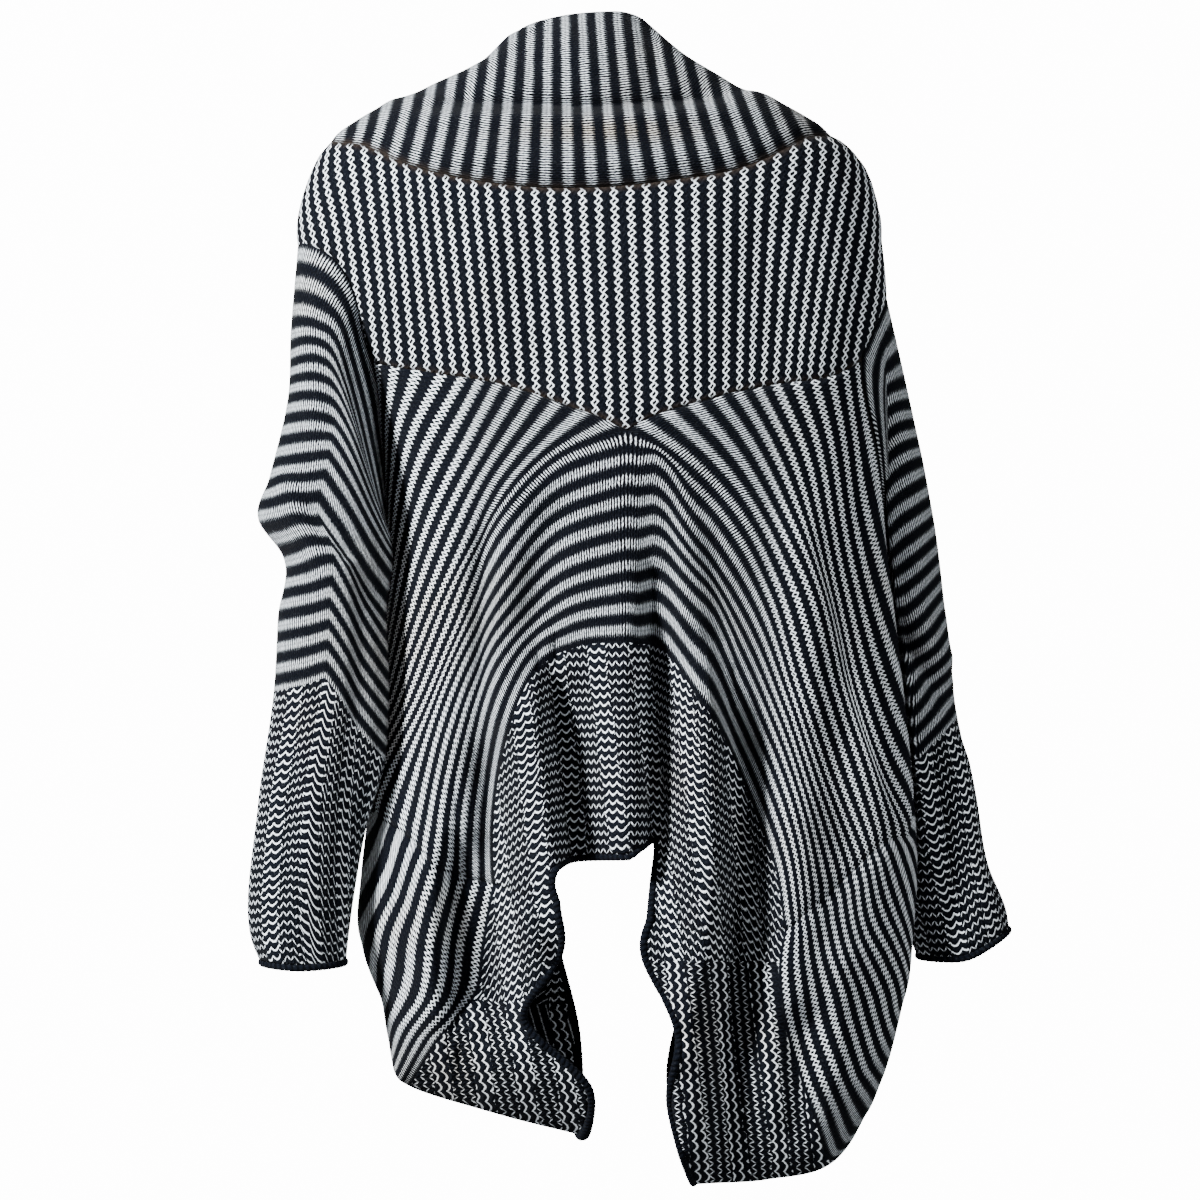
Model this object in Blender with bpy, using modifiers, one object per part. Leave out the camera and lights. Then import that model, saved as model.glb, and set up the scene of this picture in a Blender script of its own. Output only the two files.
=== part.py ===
"""Open-front striped knitted cardigan, filled out and hollow, held up at the neck and shoulders.

Metres, +Z up. The garment's back faces -Y, its open front +Y. The origin is on the neck and
shoulder line. Tables are in millimetres and degrees. A place on the body is a turn and a
height: the turn is 0 at the centre back, -90 and 90 at the sides and 180 at the centre front.
"""

import bpy
import bmesh
import numpy as np

MM = 0.001
WALL = 0.003             # thickness of the knitted cloth
SEAM_GAP = 0.0003        # each panel stops at least this far from its seam
SEAM_REACH = 0.012       # edges this close to each other are sewn together
FLAT_COSINE = 0.985      # the facets on both sides of a flat seam still meet at a small angle
LAP_GAP = 0.0034         # the sleeve's edge laps over the armhole, middle of cloth to middle
SLEEVE_GAP = 0.0050      # the same further down, where the sleeve hangs against the body
BINDING_RADIUS = 0.0032  # rolled edge of the hem and the fronts
CUFF_RADIUS = 0.0030
SIDES = ("left", "right")
EDGES = ("first_row", "last_row", "first_column", "last_column")
HEM_COURSE = 32.5        # courses are counted in white stripes from the armhole
APEX_COURSE = 12.0       # the V of the yoke meets the centre back here
APEX_ROWS = 15           # rows of faces from the armhole to the apex
COURSES = np.concatenate([
    np.linspace(0, 3.6, 7), [3.75, 4.1],
    np.linspace(4.8, APEX_COURSE, 7), [12.25, 12.8],
    np.linspace(13.8, HEM_COURSE, 11),
])                       # closer where a front meets the side seam
SHOULDER_ROWS = {"left": 3, "right": 5}   # rows of a front that end on the shoulder seam
SLEEVE_COURSES = np.array([
    0, 0.6, 1.4, 2.4, 3.6, 5, 7, 9, 11, 12.6, 14, 16, 18.5, 21, 23.5, 26, 28.5, 30.5, 32,
])

# The filled-out body in level sections: reach left and right, middle, depth to back and front
BODY = np.array([
    # height, left, middle, right, back, front
    (-795, -110, 28, 160, 32, 12),
    (-760, -132, 28, 191, 42, 20),
    (-720, -150, 28, 207, 52, 30),
    (-680, -158, 26, 217, 66, 42),
    (-640, -165, 24, 230, 78, 55),
    (-600, -180, 22, 234, 86, 75),
    (-560, -178, 20, 236, 92, 90),
    (-500, -171, 20, 234, 96, 100),
    (-400, -161, 20, 224, 101, 108),
    (-280, -160, 20, 211, 106, 108),
    (-231, -164, 20, 210, 108, 107),
    (-180, -175, 12, 210, 110, 105),
    (-130, -205, 0, 214, 111, 102),
    (-90, -225, -10, 211, 110, 98),
    (-45, -220, -19, 203, 106, 90),
    (-15, -206, -20, 186, 100, 80),
    (5, -191, -20, 158, 90, 70),
], float)

# The seam of the collar round the neck, down to the front edges
COLLAR_SEAM = np.array([
    # turn, height
    (-160, -240), (-135, -125), (-115, -52), (-100, -24), (-90, -15), (-60, -20),
    (-39, -26), (-17, -36), (3, -43), (22, -37), (37, -26), (60, -15),
    (90, -8), (100, -18), (115, -48), (135, -125), (160, -240),
], float)

# The free edge of the collar
COLLAR_EDGE = np.array([
    # turn, across, depth, height
    (-160, -30, 112, -205), (-135, -54, 80, -90), (-110, -72, 36, 25), (-90, -74, 5, 58),
    (-60, -58, -28, 72), (-25, -25, -50, 84), (0, 2, -55, 89), (25, 20, -48, 83),
    (60, 34, -24, 67), (90, 43, 8, 50), (110, 50, 38, 18), (135, 45, 82, -92),
    (160, 30, 112, -205),
], float)

# How far the collar rolls out between its seam and its edge
COLLAR_ROLL = np.array([
    # part of the way up, out at the back, out at the sides
    (0, 0, 0), (0.13, 9, 5), (0.28, 12, 6), (0.41, 1, 2), (0.55, 5, -2), (0.78, 8, -8), (1, 0, 0),
], float)

# Armholes, once round from the shoulder over the back and the underarm to the front
ARMHOLE = {
    "left": np.array([
        # way round, turn, height
        (0, -90, -89), (25, -74, -88), (50, -60, -100), (80, -59, -130), (115, -73, -176),
        (135, -80, -210), (157, -87, -252), (180, -93, -290), (205, -103, -270),
        (235, -112, -230), (270, -115, -180), (310, -110, -125), (335, -100, -98), (360, -90, -89),
    ], float),
    "right": np.array([
        # way round, turn, height
        (0, 90, -127), (30, 80, -135), (60, 72, -150), (90, 67, -164), (115, 64, -176),
        (135, 67, -205), (157, 80, -250), (180, 93, -285), (205, 104, -262),
        (235, 112, -230), (270, 114, -190), (310, 109, -152), (335, 100, -135), (360, 90, -127),
    ], float),
}

# Courses of the lower back, each from the V seam or the centre back to the side seam
BACK_COURSES = {
    "left": (
        # course, then turn and height at six stations
        (3.5, (-40, -188), (-59, -240), (-70, -285), (-77, -320), (-84, -350), (-93, -380)),
        (6.5, (-24, -196), (-42, -262), (-58, -325), (-69, -375), (-78, -410), (-93, -440)),
        (9.5, (-11, -210), (-28, -268), (-43, -335), (-57, -395), (-69, -440), (-91, -482)),
        (12, (0, -230), (-15, -256), (-31, -312), (-43, -380), (-56, -440), (-79, -507)),
        (14.6, (0, -268), (-15, -292), (-28, -342), (-39, -394), (-48, -452), (-56, -524)),
        (18, (0, -321), (-13, -340), (-26, -381), (-34, -428), (-39, -491), (-40, -550)),
        (22, (0, -383), (-8, -386), (-17, -402), (-23, -444), (-26, -507), (-25, -562)),
        (27, (0, -462), (-4, -465), (-10, -476), (-15, -502), (-16, -536), (-16, -568)),
        (32.5, (0, -541), (-3, -541), (-7, -543), (-10, -549), (-12, -560), (-12, -572)),
    ),
    "right": (
        # course, then turn and height at six stations
        (2.5, (49, -189), (54, -245), (59, -310), (66, -365), (77, -405), (93, -430)),
        (5.5, (31, -196), (41, -262), (47, -345), (53, -420), (63, -480), (81, -519)),
        (8.5, (16, -206), (31, -277), (41, -344), (47, -418), (55, -480), (62, -529)),
        (12, (0, -230), (17, -284), (28, -345), (34, -412), (41, -480), (51, -544)),
        (14.6, (0, -268), (13, -314), (23, -369), (30, -428), (36, -491), (44, -558)),
        (18, (0, -321), (13, -356), (20, -409), (27, -465), (32, -521), (35, -576)),
        (22, (0, -383), (10, -420), (16, -458), (21, -499), (26, -548), (28, -593)),
        (27, (0, -462), (6, -476), (10, -502), (12, -532), (13, -566), (13, -596)),
        (32.5, (0, -541), (1.5, -543), (2.8, -547), (3.6, -556), (3.4, -570), (2.9, -584)),
    ),
}

# Courses of the fronts from the side seam, down the near side, through the bottom fold and
# up the far side; a depth of 0 puts the fold in the middle of the body's thickness
SIDE_COURSE = {"left": 12.0, "right": 3.6}
FOLD_COURSE = {"left": 19.0, "right": 19.5}   # the bottom fold lies flat from here on
FRONT_COURSES = {
    "left": (
        # course, turn and height at three near stations, fold (turn, height, depth), far station
        (14.6, (-60, -556), (-72, -592), (-89, -610), (-101, -598, 1), (-106, -540)),
        (16.2, (-52, -574), (-64, -617), (-82, -648), (-97, -654, 1), (-110, -590)),
        (18, (-44, -592), (-56, -641), (-76, -684), (-94, -700, 1), (-114, -640)),
        (20, (-36, -600), (-45, -644), (-58, -690), (-71, -721, 0.5), (-121, -664)),
        (22, (-28, -606), (-34, -645), (-43, -688), (-53, -722, 0), (-128, -680)),
        (27, (-18, -611), (-25, -656), (-29, -698), (-28, -736, 0), (-146, -690)),
        (32.5, (-12, -609), (-22, -660), (-9, -712), (-12, -751, 0), (-169, -680)),
    ),
    "right": (
        # course, turn and height at three near stations, fold (turn, height, depth), far station
        (8.5, (69, -555), (80, -582), (91, -592), (100, -572, 1), (104, -520)),
        (13, (52, -589), (62, -621), (80, -655), (97, -655, 1), (108, -600)),
        (17.5, (40, -615), (49, -660), (65, -703), (90, -718, 1), (112, -680)),
        (22, (27, -625), (31, -672), (44, -732), (68, -772, 0), (118, -730)),
        (27, (14, -630), (17, -680), (24, -740), (40, -786, 0), (138, -740)),
        (32.5, (1.9, -612), (8, -668), (11, -724), (18, -789, 0), (174, -708)),
    ),
}

# The far side of a front at the stations above the fold
FAR_LEVELS = np.array([
    # side turn, side height, edge turn, edge height
    (96, -385, 166, -600),
    (95, -335, 162, -500),
    (93, -290, 159, -420),
    (108, -240, 158, -350),
    (115, -180, 159, -295),
    (108, -118, 160, -262),
], float)

# Rings of the sleeves: centre and half sizes, and the ring's height at four places round it
SLEEVES = {
    "left": np.array([
        # course, across, depth, half_width, half_depth, outer, near, inner, far
        (3, -194, -30, 34, 42, -150, -138, -298, -215),
        (7, -193, -40, 37, 41, -206, -203, -306, -250),
        (10.5, -199, -42, 44, 40, -262, -250, -330, -285),
        (12.6, -205, -42, 46, 40, -294, -284, -362, -318),
        (14, -196, -42, 38, 39, -318, -304, -382, -334),
        (17, -197, -41, 40, 38, -366, -354, -426, -382),
        (20.4, -200, -41, 40, 38, -420, -408, -470, -430),
        (25, -213, -40, 39, 37, -505, -500, -520, -505),
        (31, -222, -38, 34, 34, -606, -612, -608, -600),
        (32, -220, -38, 31, 32, -618, -620, -618, -612),
    ], float),
    "right": np.array([
        # course, across, depth, half_width, half_depth, outer, near, inner, far
        (3, 208, 22, 22, 40, -190, -196, -296, -220),
        (7, 217, 32, 26, 42, -250, -262, -318, -265),
        (10.5, 226, 36, 27, 41, -300, -322, -345, -310),
        (15, 232, 38, 29, 40, -362, -392, -392, -360),
        (20.4, 239, 39, 31, 39, -440, -472, -470, -440),
        (25, 252, 38, 31, 37, -504, -522, -520, -506),
        (28.5, 261, 37, 31, 35, -552, -574, -572, -556),
        (31, 272, 36, 35, 34, -588, -614, -610, -596),
        (32, 275, 36, 34, 32, -600, -621, -620, -608),
    ], float),
}

# Dark and light yarn as one even tone; the stripes are in the finish, not in the form
YARN = (0.23, 0.24, 0.27)
DARK_YARN = (0.018, 0.020, 0.028)


def smooth(table, columns, where):
    """Columns of a table read at any place by cubic pieces that pass through its rows."""
    x = table[:, 0]
    y = table[:, columns]
    rise = np.diff(y, axis=0)/np.diff(x)[:, None]
    slope = np.vstack([rise[:1], rise, rise[-1:]])
    gap = np.concatenate([[1], np.diff(x), [1]])[:, None]
    slope = (slope[:-1]*gap[1:] + slope[1:]*gap[:-1])/(gap[1:] + gap[:-1])
    where = np.asarray(where, float)
    i = np.clip(np.searchsorted(x, where, "right") - 1, 0, len(x) - 2)
    h = (x[i + 1] - x[i])[..., None]
    t = (np.clip(where, x[0], x[-1]) - x[i])[..., None]/h
    return ((1 + 2*t)*(1 - t)**2*y[i] + t*(1 - t)**2*h*slope[i]
            + t*t*(3 - 2*t)*y[i + 1] - t*t*(1 - t)*h*slope[i + 1])


def on_body(turn, height, depth=1.0):
    """The point of the filled-out body at a turn and a height."""
    turn, height = np.broadcast_arrays(np.asarray(turn, float), np.asarray(height, float))
    left, middle, right, back, front = np.moveaxis(smooth(BODY, [1, 2, 3, 4, 5], height), -1, 0)
    sine = np.sin(np.radians(turn))
    cosine = np.cos(np.radians(turn))
    side = np.where(turn < 0, middle - left, right - middle)
    across = middle + side*np.sign(sine)*np.abs(sine)**(1/1.2)
    deep = -cosine*np.where(cosine > 0, back, front)*depth
    return np.stack([across, deep, height], -1)*MM


def outside_body(points, gap):
    """Points pressed sideways off the filled-out body, so that they clear it by a gap."""
    height = points[..., 2]/MM
    left, middle, right, back, front = np.moveaxis(smooth(BODY, [1, 2, 3, 4, 5], height), -1, 0)
    across = points[..., 0]/MM - middle
    deep = points[..., 1]/MM
    side = np.where(across < 0, middle - left, right - middle) + gap/MM
    depth = np.where(deep < 0, back, front) + gap/MM
    reach = side*np.clip(1 - (deep/depth)**2, 0, 1)**(1/2.4)
    pressed = np.sign(across)*np.maximum(np.abs(across), reach) + middle
    return np.stack([pressed*MM, points[..., 1], points[..., 2]], -1)


def armhole(side, way):
    """A point of the armhole's edge, by the way round it from the shoulder."""
    turn, height = np.moveaxis(smooth(ARMHOLE[side], [1, 2], way), -1, 0)
    return on_body(turn, height)


def tensor(rows, stations, courses):
    """A surface through rows of guide points, smooth both along and across the rows."""
    keys = np.array([key for key, points in rows], float)
    count = len(rows[0][1])
    lines = []
    for key, points in rows:
        table = np.column_stack([np.arange(count), np.asarray(points, float)])
        lines.append(smooth(table, list(range(1, table.shape[1])), stations))
    stack = np.array(lines)
    width = stack.shape[-1]
    table = np.column_stack([keys, stack.reshape(len(keys), -1)])
    grid = smooth(table, list(range(1, table.shape[1])), courses)
    return grid.reshape(len(courses), len(stations), width)


def back_rows(side):
    """Guide rows of one half of the lower back, the first one on the armhole's edge."""
    way = np.linspace(115, 180, 6)
    first = smooth(ARMHOLE[side], [1, 2], way)
    return [(0, first)] + [(row[0], np.array(row[1:], float)) for row in BACK_COURSES[side]]


def lower_back_half(side, courses, stations):
    """Half of the lower back: stations run 0 to 5 from the middle to the side seam."""
    rows = back_rows(side)
    grid = tensor(rows, stations, courses)
    centre = np.array([(key, *points[0]) for key, points in rows if key >= APEX_COURSE])
    start = tensor(rows, np.array([0.0]), courses)[:, 0]
    kept = np.where((courses < APEX_COURSE)[:, None], start, smooth(centre, [1, 2], courses))
    grid += (kept - start)[:, None]*((1 - stations/5)**4)[None, :, None]
    return on_body(grid[..., 0], grid[..., 1])


def front_side_edge(side, stations):
    """The front's outer edge: up the side seam to the underarm, then the armhole's front."""
    course = SIDE_COURSE[side]*(1 - np.clip(stations/8, 0, 1)**2)
    line = lower_back_half(side, COURSES, np.array([5.0]))[:, 0]
    seam = np.column_stack([np.interp(course, COURSES, line[:, i]) for i in range(3)])
    hole = armhole(side, 180 + 180*np.clip((stations - 8)/4, 0, 1))
    return np.where((stations <= 8)[:, None], seam, hole)


def front_courses(side):
    """The courses of a front, the same as those of the lower back that it meets."""
    return COURSES[COURSES > SIDE_COURSE[side] - 0.01]


def front_stations(side):
    """Stations of a front's columns; on the side seam they match the lower back's rows."""
    first = SIDE_COURSE[side]
    shared = COURSES[COURSES < first + 0.01]
    matched = 8*np.sqrt(np.clip(1 - shared/first, 0, 1))
    between = np.linspace(1.5, 8, 14)
    between = between[np.abs(between[:, None] - matched).min(1) > 0.2]
    return np.sort(np.concatenate([matched, between, np.linspace(8, 12, 9)[1:]]))


def front_top_edge(side, courses):
    """The front's top: the shoulder seam, then the collar's seam down to the front edge."""
    sign = -1 if side == "left" else 1
    rows = front_courses(side)
    place = np.interp(courses, rows, np.arange(len(rows)))
    corner = SHOULDER_ROWS[side]
    shoulder = ARMHOLE[side][0, 2]
    seam_end = smooth(COLLAR_SEAM, [1], np.array([sign*90.0]))[0, 0]
    turn = sign*(90 + 70*np.clip((place - corner)/(len(rows) - 1 - corner), 0, 1))
    height = smooth(COLLAR_SEAM, [1], turn)[..., 0]
    rise = np.clip(place/corner, 0, 1)
    height = np.where(place < corner, shoulder + (seam_end - shoulder)*rise, height)
    return on_body(turn, height)


def collar_turns():
    """Turns of the collar's columns: they match those of the yoke and of both fronts."""
    left = len(front_courses("left")) - SHOULDER_ROWS["left"]
    right = len(front_courses("right")) - SHOULDER_ROWS["right"]
    return np.concatenate([
        np.linspace(-160, -90, left)[:-1],
        np.linspace(-90, 90, 2*APEX_ROWS + 1),
        np.linspace(90, 160, right)[1:],
    ])


def front(side, courses, stations):
    """A front: stations run 0 to 12 from the side seam through the fold to the shoulder."""
    sign = -1 if side == "left" else 1
    first = SIDE_COURSE[side]
    whole = np.arange(13.0)
    rows = [(first, front_side_edge(side, whole))]
    for row in FRONT_COURSES[side]:
        part = (row[0] - first)/(HEM_COURSE - first)
        start = lower_back_half(side, np.array([row[0]]), np.array([5.0]))[0, 0]
        near = [on_body(*place) for place in row[1:6]]
        turns = sign*(FAR_LEVELS[:, 0]*(1 - part) + FAR_LEVELS[:, 2]*part)
        heights = FAR_LEVELS[:, 1]*(1 - part) + FAR_LEVELS[:, 3]*part
        far = on_body(turns, heights)
        top = front_top_edge(side, np.array([row[0]]))[0]
        rows.append((row[0], np.vstack([start, near, far, top])))
    grid = tensor(rows, stations, courses)
    hug = np.clip((FOLD_COURSE[side] - courses)/2, 0, 1)[:, None, None]
    grid += (outside_body(grid, 0) - grid)*hug
    start = lower_back_half(side, courses, np.array([5.0]))[:, 0]
    top = front_top_edge(side, courses)
    ease = stations/12
    outer = front_side_edge(side, stations)
    part = (courses - first)/(HEM_COURSE - first)
    grid += (outer - grid[0])[None]*((1 - part)**6)[:, None, None]
    grid += (start - grid[:, 0])[:, None]*((1 - ease)**6)[None, :, None]
    grid += (top - grid[:, -1])[:, None]*(ease**6)[None, :, None]
    return grid


def yoke(across, down):
    """The back yoke, a blend between its seams: across and down both run 0 to 1."""
    left_course = APEX_COURSE*np.clip(across*2, 0, 1)
    right_course = APEX_COURSE*np.clip(2 - across*2, 0, 1)
    middle = np.array([0.0])
    left_v = tensor(back_rows("left"), middle, left_course)[:, 0]
    right_v = tensor(back_rows("right"), middle, right_course)[:, 0]
    bottom = np.where((across < 0.5)[:, None], left_v, right_v)
    turn = -90 + 180*across
    top = np.column_stack([turn, smooth(COLLAR_SEAM, [1], turn)[..., 0]])
    edges = []
    for side, sign in (("left", -1), ("right", 1)):
        split = 0.36 if side == "left" else 0.6
        shoulder = ARMHOLE[side][0, 2]
        high = smooth(COLLAR_SEAM, [1], np.array([sign*90.0]))[0, 0]
        drop = high + (shoulder - high)*np.clip(down/split, 0, 1)
        way = 115*np.clip((down - split)/(1 - split), 0, 1)
        hole = smooth(ARMHOLE[side], [1, 2], way)
        edge = np.column_stack([np.full(len(down), sign*90.0), drop])
        edges.append(np.where((down < split)[:, None], edge, hole))
    u = across[None, :, None]
    v = down[:, None, None]
    grid = (1 - v)*top[None] + v*bottom[None]
    left_pull = edges[0][:, None] - grid[:, :1]
    right_pull = edges[1][:, None] - grid[:, -1:]
    grid = grid + (1 - u)**2.5*left_pull + u**2.5*right_pull
    return on_body(grid[..., 0], grid[..., 1])


def collar(turns, rises):
    """The collar: it rises 0 to 1 from its seam to its free edge and rolls out between."""
    seam = on_body(turns, smooth(COLLAR_SEAM, [1], turns)[..., 0])
    edge = smooth(COLLAR_EDGE, [1, 2, 3], turns)*MM
    roll = smooth(COLLAR_ROLL, [1, 2], rises)*MM
    lean = seam - np.array([0.0, 0.015, 0.0])
    lean[:, 2] = 0.75*np.hypot(lean[:, 0], lean[:, 1])
    lean /= np.linalg.norm(lean, axis=1)[:, None]
    behind = np.clip(np.cos(np.radians(turns)), 0, 1)[None, :]**2
    out = roll[:, :1]*behind + roll[:, 1:]*(1 - behind)
    rise = rises[:, None, None]
    return seam*(1 - rise) + edge*rise + lean*out[:, :, None]


def sleeve(side, courses, ways):
    """A sleeve: rings from the armhole to the cuff, the way round in degrees from outside."""
    sign = -1 if side == "left" else 1
    angle = np.radians(ways)
    rows = [(0, armhole(side, ways))]
    for course, across, depth, width, deep, outer, near, inner, far in SLEEVES[side]:
        x = across + sign*width*np.cos(angle)
        y = depth - deep*np.sin(angle)
        middle = (outer + near + inner + far)/4
        first = (outer - inner)/2*np.cos(angle) + (near - far)/2*np.sin(angle)
        second = (outer + inner - near - far)/4*np.cos(2*angle)
        rows.append((course, np.column_stack([x, y, middle + first + second])*MM))
    keys = np.array([row[0] for row in rows], float)
    stack = np.array([row[1] for row in rows])
    table = np.column_stack([keys, stack.reshape(len(keys), -1)])
    grid = smooth(table, list(range(1, table.shape[1])), courses)
    grid = grid.reshape(len(courses), len(ways), 3)
    gap = LAP_GAP + (SLEEVE_GAP - LAP_GAP)*np.clip(courses/1.5, 0, 1)
    return outside_body(grid, gap[:, None])


def edge_rows(grid, edge):
    """The grid as rows that run along one edge, that edge first."""
    if edge in ("first_column", "last_column"):
        grid = np.swapaxes(grid, 0, 1)
    return grid[::-1] if edge.startswith("last") else grid


def inward(rows, closed=False):
    """Steps from the first row into the grid, square to it; its ends slide along the sides."""
    along = np.gradient(rows[0], axis=0)
    if closed:
        along = np.roll(rows[0], -1, 0) - np.roll(rows[0], 1, 0)
    along /= np.linalg.norm(along, axis=-1, keepdims=True)
    slide = rows[1] - rows[0]
    square = slide - (slide*along).sum(-1, keepdims=True)*along
    size = np.linalg.norm(square, axis=-1, keepdims=True)
    steps = square/size
    if not closed:
        for end, beside_end in ((0, 1), (-1, -2)):
            steep = size[end] > 0.5*np.linalg.norm(slide[end])
            steps[end] = slide[end]/size[end] if steep else steps[beside_end]
    return steps


def seam(grid, edge):
    """An edge's points and its steps into the cloth, before either side is drawn in."""
    rows = edge_rows(grid, edge)
    return rows[0].copy(), inward(rows)


def draw_in(grid, edge, others, flat=False):
    """Move an edge back from its seam, further where the cloth turns a corner there.

    On a flat seam the edge moves straight away from the neighbour's inside.
    """
    points, steps = seam(grid, edge)
    places = np.vstack([other[0] for other in others])
    far_steps = np.vstack([other[1] for other in others])
    distance = np.linalg.norm(points[:, None] - places[None], axis=-1)
    near = distance < np.minimum(distance.min(1) + 0.001, SEAM_REACH)[:, None]
    if flat:
        across = -far_steps[distance.argmin(1)]
        steps = np.where(near.any(1)[:, None], across, steps)
    cosine = np.where(near, -(steps @ far_steps.T), 1).min(1)
    cosine = np.minimum(cosine, FLAT_COSINE)
    corner = np.arccos(np.clip(cosine, -0.2, 1))
    gap = SEAM_GAP + WALL/2*np.tan(corner/2)
    edge_rows(grid, edge)[0] += steps*gap[:, None]


def cloth(name, grids, material, collection, closed=False):
    """A knitted wall: one or more grids of points, welded where they meet, then thickened."""
    bm = bmesh.new()
    for grid in grids:
        rows, columns = grid.shape[:2]
        verts = [[bm.verts.new(point) for point in row] for row in grid]
        for i in range(rows - 1):
            for j in range(columns if closed else columns - 1):
                k = (j + 1) % columns
                bm.faces.new((verts[i][j], verts[i + 1][j], verts[i + 1][k], verts[i][k]))
    bmesh.ops.remove_doubles(bm, verts=bm.verts, dist=0.00001)
    bmesh.ops.recalc_face_normals(bm, faces=bm.faces)
    mesh = bpy.data.meshes.new(name)
    bm.to_mesh(mesh)
    bm.free()
    mesh.materials.append(material)
    piece = bpy.data.objects.new(name, mesh)
    collection.objects.link(piece)
    wall = piece.modifiers.new("wall", "SOLIDIFY")
    wall.thickness = WALL
    wall.offset = 0
    mesh.shade_smooth()
    return piece


def rolled_edge(name, path, radius, material, collection, closed=False):
    """A rolled or bound edge: a round cord of knitting along a path."""
    curve = bpy.data.curves.new(name, "CURVE")
    curve.dimensions = "3D"
    curve.bevel_depth = radius
    curve.bevel_resolution = 1
    curve.use_fill_caps = True
    spline = curve.splines.new("POLY")
    spline.points.add(len(path) - 1)
    spline.points.foreach_set("co", np.column_stack([path, np.ones(len(path))]).ravel())
    spline.use_cyclic_u = closed
    curve.materials.append(material)
    piece = bpy.data.objects.new(name, curve)
    collection.objects.link(piece)
    return piece


def beside(grid, edge, distance, closed=False):
    """A path beside one edge of a grid, this far outside it."""
    rows = edge_rows(grid, edge)
    return rows[0] - inward(rows, closed)*distance


def knit_material(name, color):
    """Plain matt yarn."""
    material = bpy.data.materials.new(name)
    material.use_nodes = True
    shader = material.node_tree.nodes["Principled BSDF"]
    shader.inputs["Base Color"].default_value = (*color, 1)
    shader.inputs["Roughness"].default_value = 0.9
    shader.inputs["Metallic"].default_value = 0
    material.diffuse_color = (*color, 1)
    return material


def main():
    for old in list(bpy.data.objects):
        bpy.data.objects.remove(old, do_unlink=True)
    collection = bpy.data.collections.new("cardigan")
    bpy.context.scene.collection.children.link(collection)
    binding_path = []

    halves = [lower_back_half(side, COURSES, np.linspace(0, 5, 15)) for side in SIDES]
    back = yoke(np.linspace(0, 1, 2*APEX_ROWS + 1), np.linspace(0, 1, 10))
    fronts = [front(side, front_courses(side), front_stations(side)) for side in SIDES]
    neck = collar(collar_turns(), np.linspace(0, 1, 10))
    for half, panel in zip(halves, fronts):
        low = beside(half, "last_row", SEAM_GAP + BINDING_RADIUS)
        high = beside(panel, "last_row", SEAM_GAP + BINDING_RADIUS)
        binding_path.append(np.vstack([low[:-1], (low[-1:] + high[:1])/2, high[1:]]))

    half_seams = [[seam(half, edge) for edge in ("first_row", "last_column")] for half in halves]
    back_seams = [seam(back, edge) for edge in EDGES]
    front_seams = [[seam(panel, edge) for edge in EDGES] for panel in fronts]
    neck_seams = [seam(neck, "first_row")]
    for i in range(2):
        halves[i][:APEX_ROWS, 0] += inward(edge_rows(halves[i], "first_column"))[:APEX_ROWS]*SEAM_GAP
        draw_in(halves[i], "last_column", front_seams[i])
        draw_in(halves[i], "first_row", back_seams)
        for edge in ("first_column", "first_row"):
            draw_in(fronts[i], edge, half_seams[i], flat=True)
        draw_in(fronts[i], "last_column", neck_seams + back_seams)
    draw_in(back, "last_row", half_seams[0] + half_seams[1])
    draw_in(back, "first_row", neck_seams)
    draw_in(back, "first_column", front_seams[0])
    draw_in(back, "last_column", front_seams[1])
    draw_in(neck, "first_row", back_seams + front_seams[0] + front_seams[1])

    cloth("lower_back", halves, knit_material("lower_back_knit", YARN), collection)
    cloth("back_yoke", [back], knit_material("yoke_knit", YARN), collection)
    for side, panel in zip(SIDES, fronts):
        cloth("front_" + side, [panel], knit_material("front_%s_knit" % side, YARN), collection)
    cloth("collar", [neck], knit_material("collar_knit", YARN), collection)

    dark = knit_material("dark_edge", DARK_YARN)
    ways = np.linspace(0, 360, 21)[:-1]
    for side in ("left", "right"):
        grid = sleeve(side, SLEEVE_COURSES, ways)
        path = beside(grid, "last_row", SEAM_GAP + CUFF_RADIUS, closed=True)
        cloth("sleeve_" + side, [grid], knit_material("sleeve_%s_knit" % side, YARN),
              collection, closed=True)
        rolled_edge("cuff_edge_" + side, path, CUFF_RADIUS, dark, collection, closed=True)

    path = np.vstack([binding_path[0][::-1], binding_path[1][1:]])
    rolled_edge("edge_binding", path, BINDING_RADIUS, dark, collection)


main()
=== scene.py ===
# %% [markdown]
# # An open-front cardigan in striped knitting
# The cardigan hangs filled out, as if someone wore it, with its back to the camera. It is
# sewn from flat panels of chunky two-tone knitting: a back yoke with upright stripes, a lower
# back whose stripes nest as arches, two fronts, a wide shawl collar and two sleeves. This
# lesson builds every panel as a surface worked out with numpy, counts the stitches on it, and
# lets one shader draw the rows of yarn. We start with the fixed frame that the panels sit on.

import bpy
import numpy as np
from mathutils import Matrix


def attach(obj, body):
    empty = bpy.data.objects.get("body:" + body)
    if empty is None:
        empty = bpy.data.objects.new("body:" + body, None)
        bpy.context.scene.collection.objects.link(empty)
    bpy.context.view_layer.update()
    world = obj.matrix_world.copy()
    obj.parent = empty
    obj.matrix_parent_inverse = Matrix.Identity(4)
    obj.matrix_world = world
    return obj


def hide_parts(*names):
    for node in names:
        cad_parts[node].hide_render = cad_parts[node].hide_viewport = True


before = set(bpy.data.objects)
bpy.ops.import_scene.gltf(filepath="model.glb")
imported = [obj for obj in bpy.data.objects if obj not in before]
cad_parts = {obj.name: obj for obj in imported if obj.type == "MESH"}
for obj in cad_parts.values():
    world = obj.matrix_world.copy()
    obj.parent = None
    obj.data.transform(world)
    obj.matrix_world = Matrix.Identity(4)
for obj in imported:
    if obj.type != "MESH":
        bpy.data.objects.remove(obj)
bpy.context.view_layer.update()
MM = 0.001
SIDES = ("left", "right")
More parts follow.
